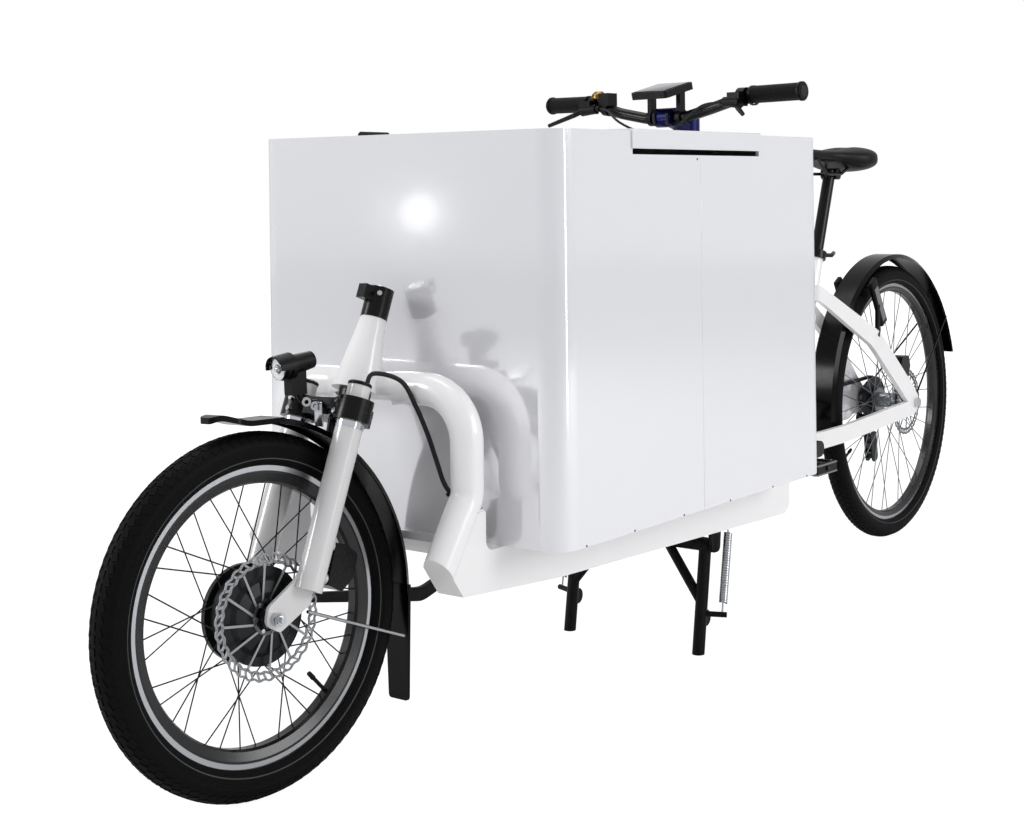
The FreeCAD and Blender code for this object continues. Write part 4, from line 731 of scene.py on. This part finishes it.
def fork_details():
    """White upper tubes above the crown, bright tubes below it, bolts, nuts and the guard's wire stay."""
    sleeves = bmesh.new()
    tops = bmesh.new()
    caps = bmesh.new()
    bolts = bmesh.new()
    for side in (1, -1):
        x = side * LEG_X
        bright_tube = [fork_point(x, up, LEG_AHEAD) for up in (284, 294)]
        upper_tube = [fork_point(x, up, LEG_AHEAD) for up in (327, 350)]
        rod(sleeves, *bright_tube, 0.0212, sides=48)
        rod(tops, *upper_tube, 0.0172, sides=48)
        cap_seat = along_x(fork_point(x, 351, LEG_AHEAD), STEER_AXIS)
        spun(caps, [(-3, 10.0), (-3, 18.0), (1, 18.0), (3, 15.0), (3, 10.0)], cap_seat, 48)
        pinch_x = x - side * 8
        for up in (303, 319):
            rod(bolts, fork_point(pinch_x, up, 62), fork_point(pinch_x, up, 76), 0.004, sides=12)
        for start, end, radius, sides in ((63, 70, 0.0085, 6), (66, 74, 0.0048, 16)):
            nut = [FRONT_AXLE + mm(side * reach, 0, 0) for reach in (start, end)]
            rod(bolts, *nut, radius, sides=sides)
    stay_foot = fork_point(54, 20, 30)
    stay_end = mm(28.5, 258, 178)
    rod(bolts, stay_foot, stay_end, 0.0025, sides=12)
    steerer_bolt = (fork_point(15, 503, 13), fork_point(20, 503, 17))
    rod(bolts, *steerer_bolt, 0.0042, sides=6)
    steerer_cap = (fork_point(0, 512, 0), fork_point(0, 517.5, 0))
    rod(bolts, *steerer_cap, 0.016, 0.013, 32)
    piece("fork_sleeves", sleeves, mirror, "fork", on_fork)
    # The upper tubes take the fork's white paint, greyed to a painted shade.
    piece("fork_upper_tubes", tops, fork_paint_with_painted_shade, "fork", on_fork)
    piece("fork_upper_caps", caps, moulded_plastic, "fork", on_fork)
    piece("fork_bolts", bolts, bright_steel, "fork", on_fork)


def hose(name, points, diameter):
    """A hose along a smooth path through the given points, in the frame's place, with no body to carry it.
    """
    path = [on_frame @ point for point in smooth_path(points)]
    shape = bmesh.new()
    tube(shape, path, diameter / 2)
    made_hose = piece(name, shape, sleeve, None, Matrix.Identity(4), 60.0)
    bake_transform(made_hose)
    return made_hose


def front_cable():
    """The sleeved cable from the fork's left tube into the arch."""
    start = on_frame.inverted() @ on_fork @ fork_point(LEG_X, 349, 33)
    points = [
        start, start + mm(5, 12, 20), mm(88, 214, 573), mm(103, 230, 534), mm(117, 240, 492),
        mm(132, 241, 455), mm(148, 238, 425), mm(163, 238, 407),
    ]
    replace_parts(hose("front_cable_sleeve", points, 0.0072), "front_cable")


head_lamp()
fork_details()
front_cable()


# Box, load frame and stand


BOX_SIDE = 310
BOX_FOOT = 326
SEAM_Y = 716
FOOT_SCREWS_Y = (373, 504, 650, 800, 950, 1080)
HINGE_SCREWS_Y = (564, 589, 614, 854, 879, 904)


def box_details():
    """The seam's cover strips, the screw heads, the cable's grommet and the weld beads."""
    strip = bmesh.new()
    for side in (1, -1):
        low = mm(side * (BOX_SIDE - 0.4) - 0.4, SEAM_Y - 1.5, BOX_FOOT)
        brick(strip, low, low + mm(1.4, 3.0, 578), 0.0003)
    piece("seam_strips", strip, painted_sheet, "frame")
    screws = bmesh.new()
    for side in (1, -1):
        for y in FOOT_SCREWS_Y:
            ball(screws, mm(side * BOX_SIDE, y, BOX_FOOT), 0.0018, (0.5, 1, 1))
        ball(screws, mm(side * BOX_SIDE, 704, 902), 0.0018, (0.5, 1, 1))
    lid_screws = bmesh.new()
    for y in HINGE_SCREWS_Y:
        ball(screws, mm(-304, y, 948.2), 0.003, (1, 1, 0.5))
        ball(lid_screws, mm(-262, y, 951.2), 0.003, (1, 1, 0.5))
    piece("box_screws", screws, moulded_plastic, "frame")
    piece("lid_screws", lid_screws, moulded_plastic, "lid")
    grommet = bmesh.new()
    cable_end = along_x(mm(160, 239, 410), Vector((0.5, 0.1, -0.86)))
    spun(grommet, [(-2, 4.0), (-2, 7.5), (3, 6.5), (3, 4.0)], cable_end, 32)
    piece("cable_grommet", grommet, grip_rubber, "frame")
    beads = bmesh.new()
    up = Vector((0, 0, 1))
    for side in (1, -1):
        knee = along_x(mm(side * 180, 250.8, 386), up)
        spun(beads, [(-2.0, 24.6), (0, 26.2), (2.0, 24.6), (0, 24.0)], knee, 64)
    seat_joint = along_x(mm(0, 1746, 700), Vector((0, 0.36, 0.93)))
    spun(beads, [(-2, 17), (0, 19), (2, 17), (0, 16)], seat_joint, 48)
    column_foot = along_x(mm(0, COLUMN_Y / MM, 322), up)
    spun(beads, [(-3, 23.8), (0, 26.4), (3, 23.8), (0, 23)], column_foot, 48)
    piece("weld_beads", beads, powder_coat_white, "frame")


def coil_springs():
    """The stand's two tension springs: a close coil with a straight tail at each end."""
    shape = bmesh.new()
    wire = 0.0016
    coil = 0.0066
    turns = 42
    steps = turns * 12
    for side in (1, -1):
        low = mm(side * 180, 993, 77)
        high = mm(side * 180, 1020, 234)
        run = high - low
        start = low + run * 0.1
        rise = run * 0.8 / steps
        seat = Matrix.Translation(start + Vector((coil, 0, 0))) @ Matrix.Rotation(math.pi / 2, 4, "X")
        ring = bmesh.ops.create_circle(shape, segments=8, radius=wire, matrix=seat)
        edges = list({edge for vert in ring["verts"] for edge in vert.link_edges})
        bmesh.ops.spin(
            shape, geom=ring["verts"] + edges, cent=start, axis=run.normalized(), dvec=rise,
            angle=2 * math.pi * turns, steps=steps
        )
        middle = (low + high) / 2
        for end in (low, high):
            rod(shape, end, end.lerp(middle, 0.22), 0.0018, sides=10)
    springs = piece("stand_spring_coils", shape, bright_steel, "stand")
    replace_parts(springs, "stand_springs")
    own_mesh(springs)


box_details()
coil_springs()


# Rider's end


def step_up(t, middle, steepness):
    """A smooth step from 0 to 1 as t passes the middle."""
    return 1 / (1 + math.exp(-(t - middle) * steepness))


def padded_saddle():
    """The saddle: a padded cover from a round nose to two seat pads, with a dip along its middle."""
    front_y, rear_y = 1690.0, 1927.0
    shape = bmesh.new()
    bmesh.ops.create_uvsphere(shape, u_segments=64, v_segments=40, radius=1.0)
    for vert in shape.verts:
        x, y, z = vert.co
        t = (y + 1) / 2
        half_width = 14 + 18 * t + 58 * step_up(t, 0.60, 13)
        top = 941 - 5 * math.sin(math.pi * t) + 9 * step_up(t, 0.72, 14)
        low = 912 - 4 * t - 24 * step_up(t, 0.62, 16)
        ring = max(1e-6, math.sqrt(max(0.0, 1 - y * y)))
        fullness = ring ** 0.22 / ring
        across = x * fullness
        level = z * fullness
        share = abs(level) ** 0.7
        height = (top if level > 0 else low) * share + (1 - share) * (top + low) / 2
        if level > 0:
            height -= 5 * math.exp(-(across / 0.16) ** 2) * math.exp(-((t - 0.6) / 0.3) ** 2)
        vert.co = mm(across * half_width, front_y + (rear_y - front_y) * t, height)
    seat = piece("saddle_cover", shape, saddle_cover, "frame", on_frame, 60.0)
    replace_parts(seat, "saddle")


def lock_body():
    """The ring lock's rounded arms with plated faces, joined under the mudguard, on two lugs."""
    lean = Matrix.Rotation(math.radians(30.0), 4, "X")
    out = Vector((0, -math.sin(math.radians(30.0)), math.cos(math.radians(30.0))))
    shape = bmesh.new()
    faces = bmesh.new()
    middle = REAR_AXLE + out * 0.289
    half_arm = mm(6, 15, 61)
    half_face = mm(0.7, 9, 44)
    half_bridge = mm(47, 13, 3.5)
    for side in (1, -1):
        centre = middle + mm(side * 44, 0, 0)
        brick(shape, centre - half_arm, centre + half_arm, 0.004, lean)
        face = middle + mm(side * 50.2, 0, 0) - out * 0.004
        brick(faces, face - half_face, face + half_face, 0.0006, lean)
        rod(shape, centre, mm(side * 60, 1932, 502), 0.006)
    bridge = REAR_AXLE + out * 0.3375
    brick(shape, bridge - half_bridge, bridge + half_bridge, 0.002, lean)
    lock = piece("lock_arms", shape, moulded_plastic, "frame")
    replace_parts(lock, "ring_lock")
    piece("lock_faces", faces, cast_alloy, "frame")


def bar_details():
    """The display's glass, the bell's dome, lever clamps, grip collars, bar plugs, bolts and buttons."""
    tilt = Matrix.Rotation(math.radians(14.0), 4, "X")
    display = mm(0, 1111, 1045) + (tilt @ Vector((0, 0, 1))) * 0.0076
    half_glass = mm(39, 39, 0.8)
    glass_plate = bmesh.new()
    brick(glass_plate, display - half_glass, display + half_glass, 0.0006, tilt)
    piece("display_glass", glass_plate, screen_glass, "handlebar", on_bars)
    dome = bmesh.new()
    ball(dome, mm(-176, 1124, 1041), 0.0158, (1, 1, 0.78))
    piece("bell_dome", dome, brass, "handlebar", on_bars)
    metal = bmesh.new()
    black = bmesh.new()
    lever_x = 186
    for side in (1, -1):
        stem_bolt = (mm(side * 16, 1106, 979), mm(side * 16, 1104, 1001))
        clamp_bolt = (mm(side * lever_x, 1107, 1007), mm(side * lever_x, 1107, 1031))
        bar_plug = (mm(side * 314, 1132, 1030), mm(side * 317.5, 1132, 1030))
        rod(metal, *stem_bolt, 0.0035, sides=12)
        rod(metal, *clamp_bolt, 0.003, sides=12)
        rod(metal, *bar_plug, 0.012, 0.010, 24)
        clamp = mm(side * lever_x, 1098, 1014)
        shoulder = clamp + mm(-side * 26, 0, 2)
        rod(black, shoulder, clamp + mm(side * 12, 0, 0), 0.0095, 0.0115, 20)
        rod(black, shoulder, clamp + mm(-side * 34, 0, 2), 0.0065, 0.005, 16)
        grip_start = along_x(mm(side * 206.5, 1128, 1027))
        grip_end = along_x(mm(side * 312, 1132, 1030))
        spun(black, [(-3, 16.6), (-3, 19.0), (3, 19.0), (3, 16.6)], grip_start, 32)
        spun(black, [(-2, 16.4), (-2, 18.2), (2, 18.2), (2, 16.4)], grip_end, 32)
    for button_x in (-158, -150, -142):
        rod(black, mm(button_x, 1113, 1040), mm(button_x, 1109, 1042), 0.003, sides=12)
    piece("bar_bolts", metal, dark_steel, "handlebar", on_bars)
    piece("lever_bodies", black, moulded_plastic, "handlebar", on_bars)


def bar_hoses():
    """Brake hoses from both levers, looping ahead over the box's edge and down beside the column."""
    turned = on_frame.inverted() @ on_bars
    for side, name in ((1, "left_brake_hose"), (-1, "right_brake_hose")):
        points = [
            turned @ mm(side * 150, 1098, 1016), turned @ mm(side * 118, 1084, 1010),
            mm(side * 76 - 8, 1068, 986), mm(side * 40 - 6, 1082, 966), mm(side * 22, 1120, 962),
            mm(side * 20, 1155, 950), mm(side * 21, 1174, 915), mm(side * 22, 1178, 880),
        ]
        hose(name, points, 0.005)


def pedal_details():
    """Amber reflectors in both pedals' front and rear edges, their cages and the tread pegs."""
    crank_angle = math.radians(3.0)
    crank_length = 0.168
    pedal_x = 137
    edge_y = 41.6
    for side, body in ((1, "pedal_left"), (-1, "pedal_right")):
        reach = side * crank_length
        y = BB_Y - reach * math.cos(crank_angle)
        z = BB_Z - reach * math.sin(crank_angle)
        centre = Vector((side * pedal_x * MM, y, z))
        amber_bars = bmesh.new()
        pegs = bmesh.new()
        cage = bmesh.new()
        half_bar = mm(10, 1.6, 6.5)
        half_rail = mm(46.5, 0.8, 1.7)
        half_plate = mm(0.7, 42, 1.7)
        half_peg = mm(0, 0, 12.6)
        for end in (1, -1):
            for x in (-32, 32):
                spot = centre + mm(x, end * edge_y, 0)
                brick(amber_bars, spot - half_bar, spot + half_bar, 0.0008)
            for x in (-36, -18, 0, 18, 36):
                spot = centre + mm(x, end * 37, 0)
                rod(pegs, spot - half_peg, spot + half_peg, 0.0022, sides=8)
        for level in (-9.2, 9.2):
            for end in (1, -1):
                rail = centre + mm(0, end * (edge_y + 0.8), level)
                brick(cage, rail - half_rail, rail + half_rail, 0.0005)
            plate = centre + mm(side * 47.2, 0, level)
            brick(cage, plate - half_plate, plate + half_plate, 0.0005)
        cap = bmesh.new()
        hub = centre - mm(side * 52, 0, 0)
        rod(cap, hub - mm(side * 0.6, 0, 0), hub + mm(side * 1.2, 0, 0), 0.0125, 0.0115, 32)
        piece(body + "_crank_cap", cap, cast_alloy, "crank")
        piece(body + "_cage", cage, cast_alloy, body)
        piece(body + "_reflectors", amber_bars, amber, body)
        piece(body + "_pegs", pegs, bright_steel, body)


def chain_loop():
    """The chain's line round both sprockets, as (y, z) points: two straight runs and two arcs."""
    ring_radius = 0.080
    cog_radius = 0.054
    straight_steps = 40
    cog_steps = 12
    ring_steps = 24
    cog = Vector((REAR_AXLE.y, REAR_AXLE.z))
    ring = Vector((BB_Y, BB_Z))
    along = (cog - ring).normalized()
    across = Vector((-along.y, along.x))
    lean = math.asin((ring_radius - cog_radius) / (cog - ring).length)
    touching = []
    for sign in (1, -1):
        out = across * (sign * math.cos(lean)) + along * math.sin(lean)
        touching.append((ring + out * ring_radius, cog + out * cog_radius))
    (ring_top, cog_top), (ring_foot, cog_foot) = touching
    path = [ring_top.lerp(cog_top, k / straight_steps) for k in range(straight_steps + 1)]
    round_cog = (cog_top - cog).angle_signed(cog_foot - cog)
    for k in range(1, cog_steps):
        path.append(cog + Matrix.Rotation(-round_cog * k / cog_steps, 2) @ (cog_top - cog))
    path += [cog_foot.lerp(ring_foot, k / straight_steps) for k in range(straight_steps + 1)]
    round_ring = (ring_foot - ring).angle_signed(ring_top - ring)
    if round_ring >= 0:
        round_ring -= 2 * math.pi
    for k in range(1, ring_steps):
        path.append(ring + Matrix.Rotation(-round_ring * k / ring_steps, 2) @ (ring_foot - ring))
    return path


def evenly_along(path, spacing):
    """Points along a closed path, as near to the spacing as a whole number of them allows."""
    lengths = [0.0]
    for a, b in zip(path, path[1:] + path[:1]):
        lengths.append(lengths[-1] + (b - a).length)
    count = round(lengths[-1] / spacing)
    spots = []
    for k in range(count):
        target = lengths[-1] * k / count
        index = max(i for i, length in enumerate(lengths[:-1]) if length <= target)
        a, b = path[index], path[(index + 1) % len(path)]
        spots.append(a.lerp(b, (target - lengths[index]) / max(1e-9, (b - a).length)))
    return spots


def chain_links():
    """The chain as rollers and side plates at the half-inch pitch, in place of the plain band."""
    pitch = 0.0127
    chain_x = -0.047
    inner_plate, outer_plate = 2.5, 3.4
    half_roller = mm(3.6, 0, 0)
    half_plate = mm(0.45, 9.5, 3.9)
    spots = [Vector((chain_x, spot.x, spot.y)) for spot in evenly_along(chain_loop(), pitch)]
    shape = bmesh.new()
    for k, (here, there) in enumerate(zip(spots, spots[1:] + spots[:1])):
        rod(shape, here - half_roller, here + half_roller, 0.0036, sides=8)
        reach = outer_plate if k % 2 else inner_plate
        turn = Matrix.Rotation(math.atan2(there.z - here.z, there.y - here.y), 4, "X")
        for side in (1, -1):
            at = (here + there) / 2 + mm(side * reach, 0, 0)
            brick(shape, at - half_plate, at + half_plate, 0.0, turn)
    links = piece("chain_links", shape, dark_steel, "frame", on_frame, 30.0)
    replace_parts(links, "chain")


padded_saddle()
lock_body()
bar_details()
bar_hoses()
pedal_details()
chain_links()


# Floor, light and camera


def studio_floor():
    """A pale floor that fades to white round the bike, for the camera's rays alone."""
    mesh = bpy.data.meshes.new("floor")
    shape = bmesh.new()
    bmesh.ops.create_grid(shape, x_segments=1, y_segments=1, size=14.0)
    shape.to_mesh(mesh)
    shape.free()
    sheet = bpy.data.objects.new("floor", mesh)
    bpy.context.scene.collection.objects.link(sheet)
    material, tree, shader, place = surface("pale_studio_floor", "#DEDEDE", 0.9)
    seen = add_node(tree, "ShaderNodeLightPath").outputs["Is Camera Ray"]
    glow = add_node(tree, "ShaderNodeEmission", {"Color": colour("#FFFFFF"), "Strength": 1.22})
    distance = add_node(tree, "ShaderNodeVectorMath", {"operation": "LENGTH"}, {0: place}).outputs["Value"]
    fade_settings = {"From Min": 1.2, "From Max": 3.2, "To Min": 0.78, "To Max": 1.0}
    fade = add_node(tree, "ShaderNodeMapRange", fade_settings, {"Value": distance}).outputs["Result"]
    share = add_node(tree, "ShaderNodeMath", {"operation": "MULTIPLY"}, {0: seen, 1: fade}).outputs[0]
    mix = add_node(tree, "ShaderNodeMixShader", {}, {0: share, 1: shader.outputs[0], 2: glow.outputs[0]})
    tree.links.new(mix.outputs[0], tree.nodes["Material Output"].inputs["Surface"])
    mesh.materials.append(material)


def studio_world():
    """A soft even light from all round, and plain white where the camera looks past the bike."""
    world = bpy.data.worlds.new("studio")
    bpy.context.scene.world = world
    world.use_nodes = True
    tree = world.node_tree
    tree.nodes.clear()
    rays = add_node(tree, "ShaderNodeLightPath").outputs
    straight_on = {0: rays["Is Camera Ray"], 1: rays["Is Transmission Ray"]}
    seen = add_node(tree, "ShaderNodeMath", {"operation": "MAXIMUM"}, straight_on).outputs[0]
    light = add_node(tree, "ShaderNodeBackground", {"Color": colour("#F4F5F8"), "Strength": 0.68})
    white = add_node(tree, "ShaderNodeBackground", {"Color": colour("#FFFFFF"), "Strength": 1.0})
    mix = add_node(tree, "ShaderNodeMixShader", {}, {0: seen, 1: light.outputs[0], 2: white.outputs[0]})
    add_node(tree, "ShaderNodeOutputWorld", {}, {"Surface": mix.outputs[0]})


# Each lamp: its name, place, the point it faces, its width and height, its watts and its outline.
LAMPS = [
    ("front_softbox", (-3.4, -4.4, 2.6), (0.0, -0.9, 0.6), (1.6, 1.6), 106.0, "RECTANGLE"),
    ("left_softbox", (5.2, 1.2, 2.4), (0.2, -0.1, 0.5), (2.4, 2.4), 110.0, "RECTANGLE"),
    ("top_softbox", (-0.6, 0.2, 4.6), (0.0, 0.0, 0.5), (3.0, 3.0), 72.0, "RECTANGLE"),
    ("round_highlight", (-3.6, -5.05, 0.74), (0.0, -0.8, 0.8), (0.2, 0.2), 0.2, "ELLIPSE"),
    ("corner_strip", (4.6, -0.75, 0.9), (0.3, -0.75, 0.7), (0.3, 2.4), 13.0, "RECTANGLE"),
]


def studio_lamps():
    """Soft boxes, and the small round lamp and tall strip whose mirror images show on the box."""
    for name, place, aim, size, power, outline in LAMPS:
        data = bpy.data.lights.new(name, "AREA")
        data.shape = outline
        data.size, data.size_y = size
        data.energy = power
        lamp = bpy.data.objects.new(name, data)
        bpy.context.scene.collection.objects.link(lamp)
        lamp.location = place
        lamp.rotation_euler = (Vector(aim) - Vector(place)).to_track_quat("-Z", "Y").to_euler()


def photograph_camera():
    """The camera, where the two wheels, the box's edges and the stand's feet fall as in the photograph."""
    image_width, image_height = 1024, 821
    place = on_frame @ Vector((1.69176, -1.61657, 0.85731))
    yaw, pitch, roll = 0.6502, 0.0024, 0.0121
    focal_pixels = 1633.1
    horizon_row = 192.52
    back = Vector((math.sin(yaw) * math.cos(pitch), -math.cos(yaw) * math.cos(pitch), math.sin(pitch)))
    right = (-back).cross(Vector((0, 0, 1))).normalized()
    down = (-back).cross(right).normalized()
    rolled_right = right * math.cos(roll) + down * math.sin(roll)
    rolled_down = down * math.cos(roll) - right * math.sin(roll)
    turn = Matrix((rolled_right, -rolled_down, back)).transposed()
    data = bpy.data.cameras.new("camera")
    data.sensor_width = 36.0
    data.lens = focal_pixels / image_width * data.sensor_width
    data.shift_y = (horizon_row - image_height / 2) / image_width
    data.clip_start = 0.05
    data.clip_end = 60.0
    camera = bpy.data.objects.new("camera", data)
    bpy.context.scene.collection.objects.link(camera)
    camera.matrix_world = Matrix.Translation(place) @ turn.to_4x4()
    bpy.context.scene.camera = camera


studio_floor()
studio_world()
studio_lamps()
photograph_camera()
bpy.context.scene.view_settings.view_transform = "Standard"
